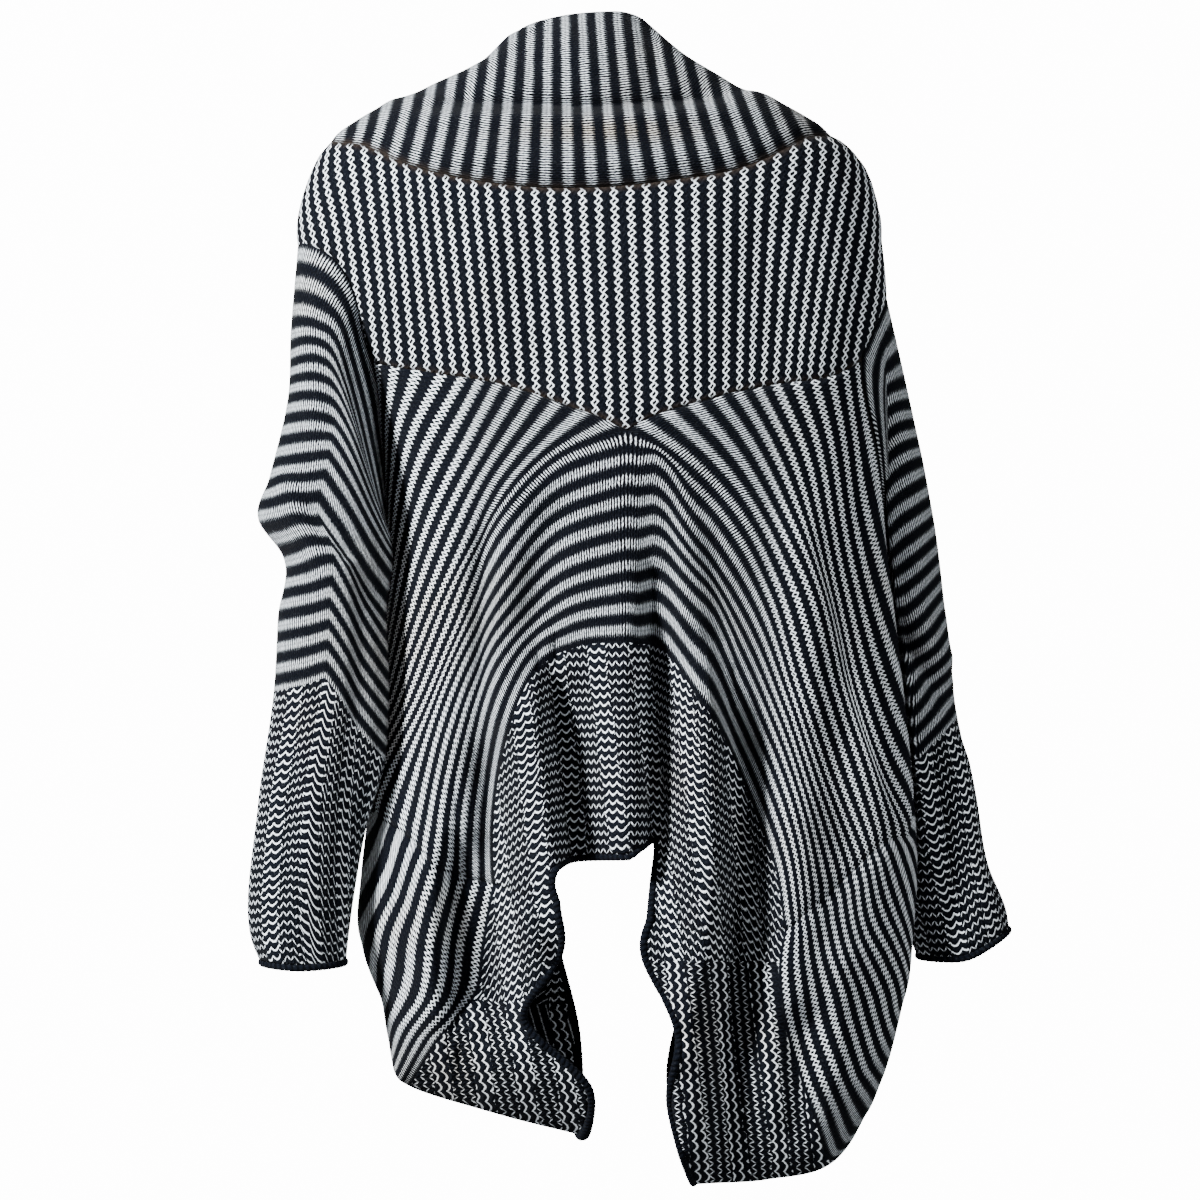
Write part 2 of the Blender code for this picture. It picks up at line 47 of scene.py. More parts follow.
print("frame nodes:", sorted(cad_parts))

# %% [markdown]
# ## The camera
# The camera looks straight at the back from three metres, level with the middle of the
# garment. It comes first, because the lines of folds and stripes further down are measured
# across and down the picture, and the same camera turns those measures into places.

# %% Camera
CAMERA_PLACE = np.array([0.0, -3.0, -0.3525])
FRAME_WIDTH = 0.9        # metres that the picture takes in at the middle of the garment
PICTURE = 1200.0         # the picture's width and height in picture points

camera_data = bpy.data.cameras.new("camera")
camera_data.sensor_fit = "HORIZONTAL"
camera_data.sensor_width = 36.0
camera_data.lens = 36.0*abs(CAMERA_PLACE[1])/FRAME_WIDTH
camera = bpy.data.objects.new("camera", camera_data)
camera.location = CAMERA_PLACE
camera.rotation_euler = (np.pi/2, 0, 0)
bpy.context.scene.collection.objects.link(camera)
bpy.context.scene.camera = camera


def in_picture(points):
    """Points across and down the picture: how far off the camera's axis, over the distance."""
    reach = points[..., 1] - CAMERA_PLACE[1]
    scale = PICTURE/FRAME_WIDTH*abs(CAMERA_PLACE[1])/reach
    across = PICTURE/2 + scale*(points[..., 0] - CAMERA_PLACE[0])
    down = PICTURE/2 - scale*(points[..., 2] - CAMERA_PLACE[2])
    return np.stack([across, down], -1)


print("camera lens: %.0f mm" % camera_data.lens)

# %% [markdown]
# ## Reading a table smoothly
# The shape of the garment is kept in short tables, the way a maker notes measurements. To get
# a smooth surface, the tables are read with cubic pieces that pass through every row and
# whose slopes are the average of the slopes on both sides. It could also be done with curve
# objects, but plain arrays make every later step one formula.

# %% Smooth tables


def smooth(table, columns, where):
    """Columns of a table at any place: a cubic Hermite piece between each two rows, with the
    slope at a row taken as the mean of its neighbours' slopes."""
    x = table[:, 0]
    y = table[:, columns]
    rise = np.diff(y, axis=0)/np.diff(x)[:, None]
    slope = np.vstack([rise[:1], rise, rise[-1:]])
    gap = np.concatenate([[1], np.diff(x), [1]])[:, None]
    slope = (slope[:-1]*gap[1:] + slope[1:]*gap[:-1])/(gap[1:] + gap[:-1])
    where = np.asarray(where, float)
    i = np.clip(np.searchsorted(x, where, "right") - 1, 0, len(x) - 2)
    h = (x[i + 1] - x[i])[..., None]
    t = (np.clip(where, x[0], x[-1]) - x[i])[..., None]/h
    return ((1 + 2*t)*(1 - t)**2*y[i] + t*(1 - t)**2*h*slope[i]
            + t*t*(3 - 2*t)*y[i + 1] - t*t*(1 - t)*h*slope[i + 1])


def tensor(rows, stations, courses):
    """A surface through rows of guide points: each row is read smoothly at the stations, and
    the results are read smoothly again at the courses."""
    keys = np.array([key for key, points in rows], float)
    count = len(rows[0][1])
    lines = []
    for key, points in rows:
        table = np.column_stack([np.arange(count), np.asarray(points, float)])
        lines.append(smooth(table, list(range(1, table.shape[1])), stations))
    stack = np.array(lines)
    width = stack.shape[-1]
    table = np.column_stack([keys, stack.reshape(len(keys), -1)])
    grid = smooth(table, list(range(1, table.shape[1])), courses)
    return grid.reshape(len(courses), len(stations), width)


def ease(value, low, high):
    """A soft step: 0 below low, 1 above high, and the cubic 3t^2 - 2t^3 between."""
    t = np.clip((np.asarray(value, float) - low)/(high - low), 0, 1)
    return t*t*(3 - 2*t)


print("a smooth step half way:", float(ease(0.5, 0, 1)))

# %% [markdown]
# ## The body that fills the garment
# Nobody wears the cardigan, but it stands out as if somebody did. Level sections of that
# filled shape give a point for any turn round the body and any height. All the panels below
# are drawn in turns and heights, so they share one form and meet at their seams.

# %% The filled-out body
BODY = np.array([
    # height, left, middle, right, back, front
    (-795, -110, 28, 160, 32, 12),
    (-760, -132, 28, 191, 42, 20),
    (-720, -150, 28, 207, 52, 30),
    (-680, -158, 26, 217, 66, 42),
    (-640, -165, 24, 230, 78, 55),
    (-600, -180, 22, 234, 86, 75),
    (-560, -178, 20, 236, 92, 90),
    (-500, -171, 20, 234, 96, 100),
    (-400, -161, 20, 224, 101, 108),
    (-280, -160, 20, 211, 106, 108),
    (-231, -164, 20, 210, 108, 107),
    (-180, -175, 12, 210, 110, 105),
    (-130, -205, 0, 214, 111, 102),
    (-90, -225, -10, 211, 110, 98),
    (-45, -220, -19, 203, 106, 90),
    (-15, -206, -20, 186, 100, 80),
    (5, -191, -20, 158, 90, 70),
], float)


def on_body(turn, height, depth=1.0):
    """The point of the body at a turn and a height: across is the reach times the sine of the
    turn, deep is the depth times its cosine, and both corners are filled out a little."""
    turn, height = np.broadcast_arrays(np.asarray(turn, float), np.asarray(height, float))
    left, middle, right, back, front = np.moveaxis(smooth(BODY, [1, 2, 3, 4, 5], height), -1, 0)
    sine = np.sin(np.radians(turn))
    cosine = np.cos(np.radians(turn))
    side = np.where(turn < 0, middle - left, right - middle)
    across = middle + side*np.sign(sine)*np.abs(sine)**(1/1.2)
    deep = -cosine*np.where(cosine > 0, back, front)*depth
    return np.stack([across, deep, height], -1)*MM


def outside_body(points, gap):
    """Points pressed sideways off the body: across is at least the body's reach plus a gap."""
    height = points[..., 2]/MM
    left, middle, right, back, front = np.moveaxis(smooth(BODY, [1, 2, 3, 4, 5], height), -1, 0)
    across = points[..., 0]/MM - middle
    deep = points[..., 1]/MM
    side = np.where(across < 0, middle - left, right - middle) + gap/MM
    depth = np.where(deep < 0, back, front) + gap/MM
    reach = side*np.clip(1 - (deep/depth)**2, 0, 1)**(1/2.4)
    pressed = np.sign(across)*np.maximum(np.abs(across), reach) + middle
    return np.stack([pressed*MM, points[..., 1], points[..., 2]], -1)


print("half way down, the body reaches across (m):",
      on_body(-90, -400)[0].round(3), "to", on_body(90, -400)[0].round(3))

# %% [markdown]
# ## Seams that several panels share
# A maker pins two panels along one seam line. Here the neck seam, the armholes and the lines
# of the lower back are tables of their own, and every panel that meets there reads the same
# one, so that no gap opens between them.

# %% Seam lines
COLLAR_SEAM = np.array([
    # turn, height
    (-160, -240), (-135, -125), (-115, -52), (-100, -24), (-90, -15), (-62, -15),
    (-48, -21), (-35, -34), (-25, -42.5), (-16, -49), (-8, -53), (-1, -54.5), (9, -51.5),
    (16, -47.5), (24, -43), (33, -34.5), (42, -24), (48, -18), (55, -12), (65, -9),
    (90, -8), (100, -18), (115, -48), (135, -125), (160, -240),
], float)

ARMHOLE = {
    "left": np.array([
        # way round, turn, height
        (0, -90, -89), (25, -74, -88), (50, -60, -100), (80, -59, -130), (115, -73, -176),
        (135, -80, -210), (157, -87, -252), (180, -93, -290), (205, -103, -270),
        (235, -112, -230), (270, -115, -180), (310, -110, -125), (335, -100, -98),
        (360, -90, -89),
    ], float),
    "right": np.array([
        # way round, turn, height
        (0, 90, -127), (30, 80, -135), (60, 72, -150), (90, 67, -164), (115, 64, -176),
        (135, 67, -205), (157, 80, -250), (180, 93, -285), (205, 104, -262),
        (235, 112, -230), (270, 114, -190), (310, 109, -152), (335, 100, -135),
        (360, 90, -127),
    ], float),
}
HEM_COURSE = 32.5        # courses are counted in white stripes from the armhole
APEX_COURSE = 12.0       # the V of the yoke meets the centre back here


def armhole(side, way):
    """A point of the armhole's edge, by the way round it in degrees from the shoulder."""
    turn, height = np.moveaxis(smooth(ARMHOLE[side], [1, 2], way), -1, 0)
    return on_body(turn, height)


print("left underarm (m):", armhole("left", 180.0).round(3))

# %% [markdown]
# ## The lower back
# Each course of knitting starts at the V seam or at the centre back and runs out and down to
# the side seam, so the stripes nest as arches. The table gives six places along nine courses
# of each half. A surface through these guide rows carries the stripes with it, and this is
# why the rows of the grid are the rows of the knitting.

# %% Lower back guide rows
BACK_COURSES = {
    "left": (
        # course, then turn and height at six stations
        (3.5, (-40, -188), (-59, -240), (-70, -285), (-77, -320), (-84, -350), (-93, -380)),
        (6.5, (-24, -196), (-42, -262), (-58, -325), (-69, -375), (-78, -410), (-93, -440)),
        (9.5, (-11, -210), (-28, -268), (-43, -335), (-57, -395), (-69, -440), (-91, -482)),
        (12, (0, -230), (-15, -256), (-31, -312), (-43, -380), (-56, -440), (-79, -507)),
        (14.6, (0, -268), (-15, -292), (-28, -342), (-39, -394), (-48, -452), (-56, -524)),
        (18, (0, -321), (-13, -340), (-26, -381), (-34, -428), (-39, -491), (-40, -550)),
        (22, (0, -383), (-8, -386), (-17, -402), (-23, -444), (-26, -507), (-25, -562)),
        (27, (0, -462), (-4, -465), (-10, -476), (-15, -502), (-16, -536), (-16, -568)),
        (32.5, (0, -537), (-4, -538), (-8.5, -540), (-12, -545), (-13, -558), (-12, -572)),
    ),
    "right": (
        # course, then turn and height at six stations
        (2.5, (49, -189), (54, -245), (59, -310), (66, -365), (77, -405), (93, -430)),
        (5.5, (31, -196), (41, -262), (47, -345), (53, -420), (63, -480), (81, -519)),
        (8.5, (16, -206), (31, -277), (41, -344), (47, -418), (55, -480), (62, -529)),
        (12, (0, -230), (17, -284), (28, -345), (34, -412), (41, -480), (51, -544)),
        (14.6, (0, -268), (13, -314), (23, -369), (30, -428), (36, -491), (44, -558)),
        (18, (0, -321), (13, -356), (20, -409), (27, -465), (32, -521), (35, -576)),
        (22, (0, -383), (10, -420), (16, -458), (21, -499), (26, -548), (28, -593)),
        (27, (0, -462), (6, -476), (10, -502), (12, -532), (13, -566), (13, -596)),
        (32.5, (0, -537), (1.5, -530), (3.2, -526), (4.1, -533), (3.6, -558), (2.9, -584)),
    ),
}


CREST_LIFT = 13.0        # mm: right of the centre the arches stay level, then fall away


def back_rows(side):
    """Guide rows of one half of the lower back, the first one on the armhole's edge."""
    first = smooth(ARMHOLE[side], [1, 2], np.linspace(115, 180, 6))
    return [(0, first)] + [(row[0], np.array(row[1:], float)) for row in BACK_COURSES[side]]


def lower_back_half(side, courses, stations):
    """Half of the lower back: the surface through its guide rows, with its middle edge kept
    straight on the centre back from the apex down. Stations run 0 to 5 out to the seam."""
    rows = back_rows(side)
    grid = tensor(rows, stations, courses)
    centre = np.array([(key, *points[0]) for key, points in rows if key >= APEX_COURSE])
    start = tensor(rows, np.array([0.0]), courses)[:, 0]
    kept = np.where((courses < APEX_COURSE)[:, None], start, smooth(centre, [1, 2], courses))
    grid += (kept - start)[:, None]*((1 - stations/5)**4)[None, :, None]
    turn = grid[..., 0]
    crest = ease(turn, 0, 4.2)*(1 - ease(turn, 4.8, 11.5))*(side == "right")
    grid[..., 1] += CREST_LIFT*crest*(ease(courses, 11.5, 13.5)*ease(-courses, -30, -24))[:, None]
    return on_body(grid[..., 0], grid[..., 1])


print("guide rows in each half:", len(back_rows("left")), len(back_rows("right")))

# %% [markdown]
# ## The fronts
# Each front begins at the side seam, hangs down in the near layer, turns through a soft fold
# at the bottom and climbs the far side to the shoulder. On the far side nothing was ever
# seen, so it follows the plain cut of such a garment: an open edge down each side of the
# centre front.

# %% Front guide rows
SIDE_COURSE = {"left": 12.0, "right": 3.6}
FOLD_COURSE = {"left": 19.0, "right": 19.5}
FRONT_COURSES = {
    "left": (
        # course, turn and height at three near stations, fold (turn, height, depth), far station
        (14.6, (-60, -556), (-72, -592), (-89, -610), (-101, -598, 1), (-106, -540)),
        (16.2, (-52, -574), (-64, -617), (-82, -648), (-97, -654, 1), (-110, -590)),
        (18, (-44, -592), (-54, -638), (-70, -668), (-93, -690, 1), (-114, -640)),
        (20, (-36, -600), (-44, -643), (-58, -675), (-82, -708, 0.5), (-121, -664)),
        (22, (-28, -606), (-34, -645), (-47, -674), (-70, -716, 0), (-128, -680)),
        (27, (-18, -611), (-25, -656), (-31, -698), (-33, -737, 0), (-146, -690)),
        (32.5, (-12, -609), (-22, -660), (-9, -712), (-12, -751, 0), (-169, -680)),
    ),
    "right": (
        # course, turn and height at three near stations, fold (turn, height, depth), far station
        (8.5, (69, -555), (80, -582), (91, -592), (100, -572, 1), (104, -520)),
        (13, (52, -589), (62, -621), (80, -655), (97, -655, 1), (108, -600)),
        (17.5, (40, -615), (49, -660), (65, -703), (90, -718, 1), (112, -680)),
        (22, (27, -625), (31, -672), (44, -732), (68, -772, 0), (118, -730)),
        (27, (14, -630), (17, -680), (24, -740), (40, -786, 0), (138, -740)),
        (32.5, (1.9, -612), (7, -668), (5.5, -724), (15, -789, 0), (174, -708)),
    ),
}
FAR_LEVELS = np.array([
    # side turn, side height, edge turn, edge height
    (96, -385, 166, -600),
    (95, -335, 162, -500),
    (93, -290, 159, -420),
    (108, -240, 158, -350),
    (115, -180, 159, -295),
    (108, -118, 160, -262),
], float)
SHOULDER_PART = {"left": 0.12, "right": 0.17}   # share of a front's courses on the shoulder


def front_side_edge(side, stations):
    """The front's outer edge: up the lower back's side seam, then round the armhole's front.
    The course falls off with the square of the station, which spaces the columns evenly."""
    dense = np.linspace(0, HEM_COURSE, 651)
    course = SIDE_COURSE[side]*(1 - np.clip(stations/8, 0, 1)**2)
    line = lower_back_half(side, dense, np.array([5.0]))[:, 0]
    seam = np.column_stack([np.interp(course, dense, line[:, i]) for i in range(3)])
    hole = armhole(side, 180 + 180*np.clip((stations - 8)/4, 0, 1))
    return np.where((stations <= 8)[:, None], seam, hole)


def front_top_edge(side, courses):
    """The front's top: the shoulder seam, then the collar's seam down to the front edge."""
    sign = -1 if side == "left" else 1
    part = (courses - SIDE_COURSE[side])/(HEM_COURSE - SIDE_COURSE[side])
    corner = SHOULDER_PART[side]
    shoulder = ARMHOLE[side][0, 2]
    seam_end = smooth(COLLAR_SEAM, [1], np.array([sign*90.0]))[0, 0]
    turn = sign*(90 + 70*np.clip((part - corner)/(1 - corner), 0, 1))
    height = smooth(COLLAR_SEAM, [1], turn)[..., 0]
    height = np.where(part < corner, shoulder + (seam_end - shoulder)*part/corner, height)
    return on_body(turn, height)


def front(side, courses, stations):
    """A front: the surface through guide rows of thirteen stations, pressed onto the body
    near the side seam, with its outer, side and top edges eased onto their seams."""
    sign = -1 if side == "left" else 1
    first = SIDE_COURSE[side]
    rows = [(first, front_side_edge(side, np.arange(13.0)))]
    for row in FRONT_COURSES[side]:
        part = (row[0] - first)/(HEM_COURSE - first)
        start = lower_back_half(side, np.array([row[0]]), np.array([5.0]))[0, 0]
        near = [on_body(*place) for place in row[1:6]]
        turns = sign*(FAR_LEVELS[:, 0]*(1 - part) + FAR_LEVELS[:, 2]*part)
        heights = FAR_LEVELS[:, 1]*(1 - part) + FAR_LEVELS[:, 3]*part
        top = front_top_edge(side, np.array([row[0]]))[0]
        rows.append((row[0], np.vstack([start, near, on_body(turns, heights), top])))
    grid = tensor(rows, stations, courses)
    hug = np.clip((FOLD_COURSE[side] - courses)/2, 0, 1)[:, None, None]
    grid += (outside_body(grid, 0) - grid)*hug
    start = lower_back_half(side, courses, np.array([5.0]))[:, 0]
    inner = stations/12
    part = (courses - first)/(HEM_COURSE - first)
    grid += (front_side_edge(side, stations) - grid[0])[None]*((1 - part)**6)[:, None, None]
    grid += (start - grid[:, 0])[:, None]*((1 - inner)**6)[None, :, None]
    grid += (front_top_edge(side, courses) - grid[:, -1])[:, None]*(inner**6)[None, :, None]
    return grid


print("stations up each front:", 13)

# %% [markdown]
# ## The back yoke
# The yoke is one panel between the collar seam and the V seam. It is a blend of its edges:
# straight lines from the top seam to the V give the inside, and the two sides are pulled onto
# the shoulders and armholes.

# %% The yoke's surface
SHOULDER_SHARE = {"left": 0.36, "right": 0.6}   # share of a yoke side that is shoulder seam


def yoke(across, down):
    """The yoke: top seam times (1 - down) plus V seam times down, and each side edge pulls
    with the power 2.5 of its nearness. Across and down both run 0 to 1."""
    left_course = APEX_COURSE*np.clip(across*2, 0, 1)
    right_course = APEX_COURSE*np.clip(2 - across*2, 0, 1)
    middle = np.array([0.0])
    left_v = tensor(back_rows("left"), middle, left_course)[:, 0]
    right_v = tensor(back_rows("right"), middle, right_course)[:, 0]
    bottom = np.where((across < 0.5)[:, None], left_v, right_v)
    turn = -90 + 180*across
    top = np.column_stack([turn, smooth(COLLAR_SEAM, [1], turn)[..., 0]])
    edges = []
    for side, sign in (("left", -1), ("right", 1)):
        split = SHOULDER_SHARE[side]
        shoulder = ARMHOLE[side][0, 2]
        high = smooth(COLLAR_SEAM, [1], np.array([sign*90.0]))[0, 0]
        drop = high + (shoulder - high)*np.clip(down/split, 0, 1)
        hole = smooth(ARMHOLE[side], [1, 2], 115*np.clip((down - split)/(1 - split), 0, 1))
        edge = np.column_stack([np.full(len(down), sign*90.0), drop])
        edges.append(np.where((down < split)[:, None], edge, hole))
    u = across[None, :, None]
    v = down[:, None, None]
    grid = (1 - v)*top[None] + v*bottom[None]
    left_pull = edges[0][:, None] - grid[:, :1]
    right_pull = edges[1][:, None] - grid[:, -1:]
    grid = grid + (1 - u)**2.5*left_pull + u**2.5*right_pull
    return on_body(grid[..., 0], grid[..., 1])


print("yoke apex (m):", yoke(np.array([0.5]), np.array([1.0]))[0, 0].round(3))

# %% [markdown]
# ## The shawl collar
# The collar is one wide strip, knit side out. It is sewn on along the neck seam, rolls out
# over it like a soft tube, folds back in along a crease and then stands up round the neck.
# The roll table says how far it stands out at the back and at the sides, part by part.

# %% The collar's surface
COLLAR_EDGE = np.array([
    # turn, across, depth, height
    (-160, -30, 112, -205), (-135, -54, 80, -90), (-110, -72, 36, 25), (-90, -74, 5, 58),
    (-60, -58, -28, 71), (-25, -25, -50, 78), (0, 2, -55, 80), (25, 20, -48, 80),
    (60, 38, -24, 71), (90, 43, 8, 50), (110, 50, 38, 18), (135, 45, 82, -92),
    (160, 30, 112, -205),
], float)
COLLAR_ROLL = np.array([
    # part of the way up, out at the back, out at the sides
    (0, 0, 0), (0.06, 6, 2), (0.16, 12, 3), (0.28, 14, 3), (0.36, 10, 3), (0.405, 1, 1),
    (0.46, -2, -1), (0.56, 3, -3), (0.78, 7, -8), (1, 0, 0),
], float)


def collar(turns, rises):
    """The collar: seam times (1 - rise) plus edge times rise, pushed out by the roll table
    along a line that leans out and up from the neck."""
    seam = on_body(turns, smooth(COLLAR_SEAM, [1], turns)[..., 0])
    edge = smooth(COLLAR_EDGE, [1, 2, 3], turns)*MM
    roll = smooth(COLLAR_ROLL, [1, 2], rises)*MM
    lean = seam - np.array([0.0, 0.015, 0.0])
    lean[:, 2] = 0.75*np.hypot(lean[:, 0], lean[:, 1])
    lean /= np.linalg.norm(lean, axis=1)[:, None]
    behind = np.clip(np.cos(np.radians(turns)), 0, 1)[None, :]**2
    out = roll[:, :1]*behind + roll[:, 1:]*(1 - behind)
    rise = rises[:, None, None]
    return seam*(1 - rise) + edge*rise + lean*out[:, :, None]


print("collar top at the back (m):", collar(np.array([0.0]), np.array([1.0]))[0, 0].round(3))

# %% [markdown]
# ## The sleeves
# A sleeve is a tube of rings. The rings aren't level: where the sleeve hangs against the
# body, the cloth slips down, so each ring has its own height outside, near, inside and far.
# A crease runs down the middle of the near side, and the rings turn a corner there.

# %% The sleeves' surfaces
SLEEVES = {
    "left": np.array([
        # course, across, depth, half_width, half_depth, outer, near, inner, far
        (3, -194, -30, 34, 42, -150, -144, -298, -215),
        (7, -193, -40, 37, 41, -206, -200, -306, -250),
        (10.5, -199, -42, 44, 40, -262, -255, -330, -285),
        (12.6, -205, -42, 46, 40, -294, -287, -362, -318),
        (14, -196, -42, 38, 39, -318, -310, -382, -334),
        (17, -197, -41, 40, 38, -366, -358, -426, -382),
        (20.4, -200, -41, 40, 38, -420, -411, -470, -430),
        (25, -213, -40, 39, 37, -505, -500, -520, -505),
        (31, -222, -38, 34, 34, -606, -612, -608, -600),
        (32, -220, -38, 31, 32, -618, -620, -618, -612),
    ], float),
    "right": np.array([
        # course, across, depth, half_width, half_depth, outer, near, inner, far
        (3, 208, 22, 22, 40, -190, -196, -296, -220),
        (7, 217, 32, 26, 42, -250, -262, -318, -265),
        (10.5, 226, 36, 27, 41, -300, -322, -345, -310),
        (15, 232, 38, 29, 40, -362, -392, -392, -360),
        (20.4, 239, 39, 31, 39, -440, -472, -470, -440),
        (25, 252, 38, 31, 37, -504, -522, -520, -506),
        (28.5, 261, 37, 31, 35, -552, -574, -572, -556),
        (31, 272, 36, 35, 34, -588, -614, -610, -596),
        (32, 275, 36, 34, 32, -600, -621, -620, -608),
    ], float),
}
SLEEVE_GAP = 0.0050      # middle of cloth to middle, where the sleeve hangs against the body


def ring_height(ways, outer, near, inner, far, corner):
    """Heights once round a ring: a line falls or rises from the outside to the middle of the
    near or far side, and a second one on to the inside. With t across the ring from -1/2 to
    1/2 they join in a curve, sqrt(t^2 + r^2), whose r is small where there is a corner."""
    across = (1 - np.cos(np.radians(ways)))/2 - 0.5
    middle = np.where(ways <= 180, near, far)
    first, last = 2*(middle - outer), 2*(inner - middle)
    soft = 0.12*(1 - corner) + 0.005
    bend = np.sqrt(across**2 + soft**2) - np.sqrt(0.25 + soft**2) + 0.5
    return middle + (first + last)/2*across + (last - first)/2*bend


def sleeve(side, courses, ways):
    """A sleeve: ellipses with the ring heights above, read smoothly from the armhole to the
    cuff and pressed clear of the body."""
    sign = -1 if side == "left" else 1
    angle = np.radians(ways)
    rows = [(0, armhole(side, np.mod(ways, 360.0)))]
    for course, across, depth, width, deep, outer, near, inner, far in SLEEVES[side]:
        x = across + sign*width*np.cos(angle)
        y = depth - deep*np.sin(angle)
        corner = float(ease(course, 5, 11)*(1 - ease(course, 21, 28)))
        z = ring_height(np.mod(ways, 360.0), outer, near, inner, far, corner)
        rows.append((course, np.column_stack([x, y, z])*MM))
    keys = np.array([row[0] for row in rows], float)
    stack = np.array([row[1] for row in rows])
    table = np.column_stack([keys, stack.reshape(len(keys), -1)])
    grid = smooth(table, list(range(1, table.shape[1])), courses)
    grid = grid.reshape(len(courses), len(ways), 3)
    return outside_body(grid, (SLEEVE_GAP*np.clip(courses/1.5, 0, 1))[:, None])


print("rings given for each sleeve:", len(SLEEVES["left"]), len(SLEEVES["right"]))

# %% [markdown]
# ## Folds
# Heavy knitting hangs in soft vertical pleats. They could come from a cloth simulation, but
# then they would fall anywhere; here each one is placed where the real one is, as a line down
# the picture with a depth and a width on each side. A point moves out or in by the depth times
# a bell curve of its distance from the line, and the move fades at the line's ends.

# %% Folds of the near layer
BACK_FOLDS = (
    # depth out (mm), width to the left, width to the right (picture points), line (across, down)
    (7, 60, 16, ((626, 450), (627, 520), (628, 600), (628, 660))),
    (14, 34, 8, ((629, 640), (632, 700), (636, 780), (641, 862))),
    (-12, 14, 20, ((650, 560), (654, 620), (658, 680))),
    (9, 11, 26, ((503, 520), (501, 600), (500, 700), (504, 740))),
    (-8, 12, 11, ((486, 520), (484, 600), (483, 700))),
    (8, 9, 26, ((684, 510), (684, 570), (686, 640))),
    (-26, 18, 17, ((658, 640), (660, 700), (660, 780), (658, 850), (656, 920))),
    (-25, 9, 44, ((551, 670), (554, 720), (561, 780), (568, 840), (574, 890))),
    (18, 34, 8, ((534, 680), (538, 730), (545, 780), (552, 840), (560, 900), (560, 960))),
    (12, 26, 12, ((520, 900), (536, 940), (545, 985), (540, 1030))),
    (-20, 22, 20, ((484, 740), (492, 800), (494, 870), (492, 940), (494, 1000), (500, 1050))),
    (20, 26, 10, ((700, 650), (708, 700), (712, 780), (712, 860), (706, 940), (690, 1030))),
    (-30, 14, 34, ((730, 700), (736, 770), (740, 840), (738, 920), (726, 1040), (724, 1180))),
    (10, 26, 26, ((790, 780), (796, 860), (796, 940), (792, 1030))),
    (-7, 22, 26, ((826, 640), (836, 720), (840, 800), (846, 870))),
    (7, 22, 22, ((796, 500), (808, 580), (816, 660), (818, 740))),
    (-6, 20, 24, ((744, 560), (756, 640), (768, 720))),
    (7, 22, 22, ((456, 500), (450, 600), (450, 700), (452, 780))),
    (12, 30, 8, ((446, 820), (440, 880), (438, 940), (440, 1000), (446, 1030))),
    (-22, 12, 40, ((452, 830), (450, 900), (450, 960), (456, 1030))),
    (-7, 18, 18, ((412, 470), (410, 560), (408, 660), (404, 760), (402, 850))),
    (5, 18, 22, ((520, 470), (512, 540), (506, 620))),
    (-6, 22, 20, ((560, 500), (545, 570), (532, 650))),
    (-5, 18, 22, ((700, 470), (716, 540), (724, 620), (722, 700))),
    (7, 24, 22, ((840, 940), (838, 1020), (830, 1100))),
    (-8, 20, 20, ((806, 1000), (800, 1070), (790, 1150))),
    (14, 14, 40, ((668, 1040), (680, 1100), (690, 1170))),
    (4, 30, 30, ((470, 230), (480, 290), (470, 350))),
    (-4, 30, 30, ((540, 220), (548, 300), (556, 390))),
    (4, 34, 34, ((690, 230), (700, 300), (680, 380))),
    (-4, 30, 30, ((760, 220), (772, 290), (790, 350))),
    (-5, 20, 20, ((345, 190), (356, 230), (366, 280))),
)
FRONT_FOLDS = (
    # the far layer was never seen: soft pleats like those of the near one, uneven as well
    (7, 24, 20, ((420, 330), (430, 480), (426, 640), (432, 800), (436, 960))),
    (-8, 20, 24, ((462, 360), (470, 500), (474, 660), (480, 820), (486, 980))),
    (8, 22, 18, ((512, 420), (520, 560), (524, 700), (530, 860), (536, 1020))),
    (-6, 18, 22, ((556, 520), (560, 660), (566, 800), (570, 940))),
    (-7, 22, 20, ((694, 470), (700, 620), (700, 780), (706, 940))),
    (9, 20, 24, ((738, 380), (744, 540), (750, 700), (752, 860), (760, 1020))),
    (-8, 22, 22, ((784, 340), (792, 500), (800, 660), (806, 820), (812, 980))),
    (6, 22, 24, ((832, 330), (842, 500), (846, 660), (852, 820))),
)


def fold_depth(points, folds):
    """How far each point moves out: the sum over folds of depth times exp(-(d/w)^2), where d
    is the distance from the fold's line in the picture and w its width on that side, times a
    fade of 4p(1 - p) along the line near its ends."""
    place = in_picture(points)[..., None, :]
    total = np.zeros(points.shape[:-1])
    for depth, left_width, right_width, line in folds:
        line = np.array(line, float)
        start, step = line[:-1], np.diff(line, axis=0)
        part = ((place - start)*step).sum(-1)/(step**2).sum(-1)
        offset = place - start - step*np.clip(part, 0, 1)[..., None]
        distance = np.linalg.norm(offset, axis=-1)
        nearest = distance.argmin(-1)[..., None]
        distance = np.take_along_axis(distance, nearest, -1)[..., 0]
        across = np.take_along_axis(offset[..., 0], nearest, -1)[..., 0]
        along = np.take_along_axis(np.clip(part, 0, 1), nearest, -1)[..., 0]
        along = (along + nearest[..., 0])/len(step)
        width = np.where(across < 0, left_width, right_width)
        fade = np.minimum(1, 6*along*(1 - along) + 0.25)
        total += depth*np.exp(-(distance/width)**2)*fade
    return total*MM


def folded(grid):
    """The grid with the folds put in: near points move towards the camera's side, far points
    away from it, and a point half way through the garment stays."""
    near = ease(-grid[..., 1], -0.012, 0.030)
    far = ease(grid[..., 1], -0.012, 0.040)
    grid = grid.copy()
    grid[..., 1] += fold_depth(grid, FRONT_FOLDS)*far - fold_depth(grid, BACK_FOLDS)*near
    return grid


print("folds placed:", len(BACK_FOLDS), "near and", len(FRONT_FOLDS), "far")

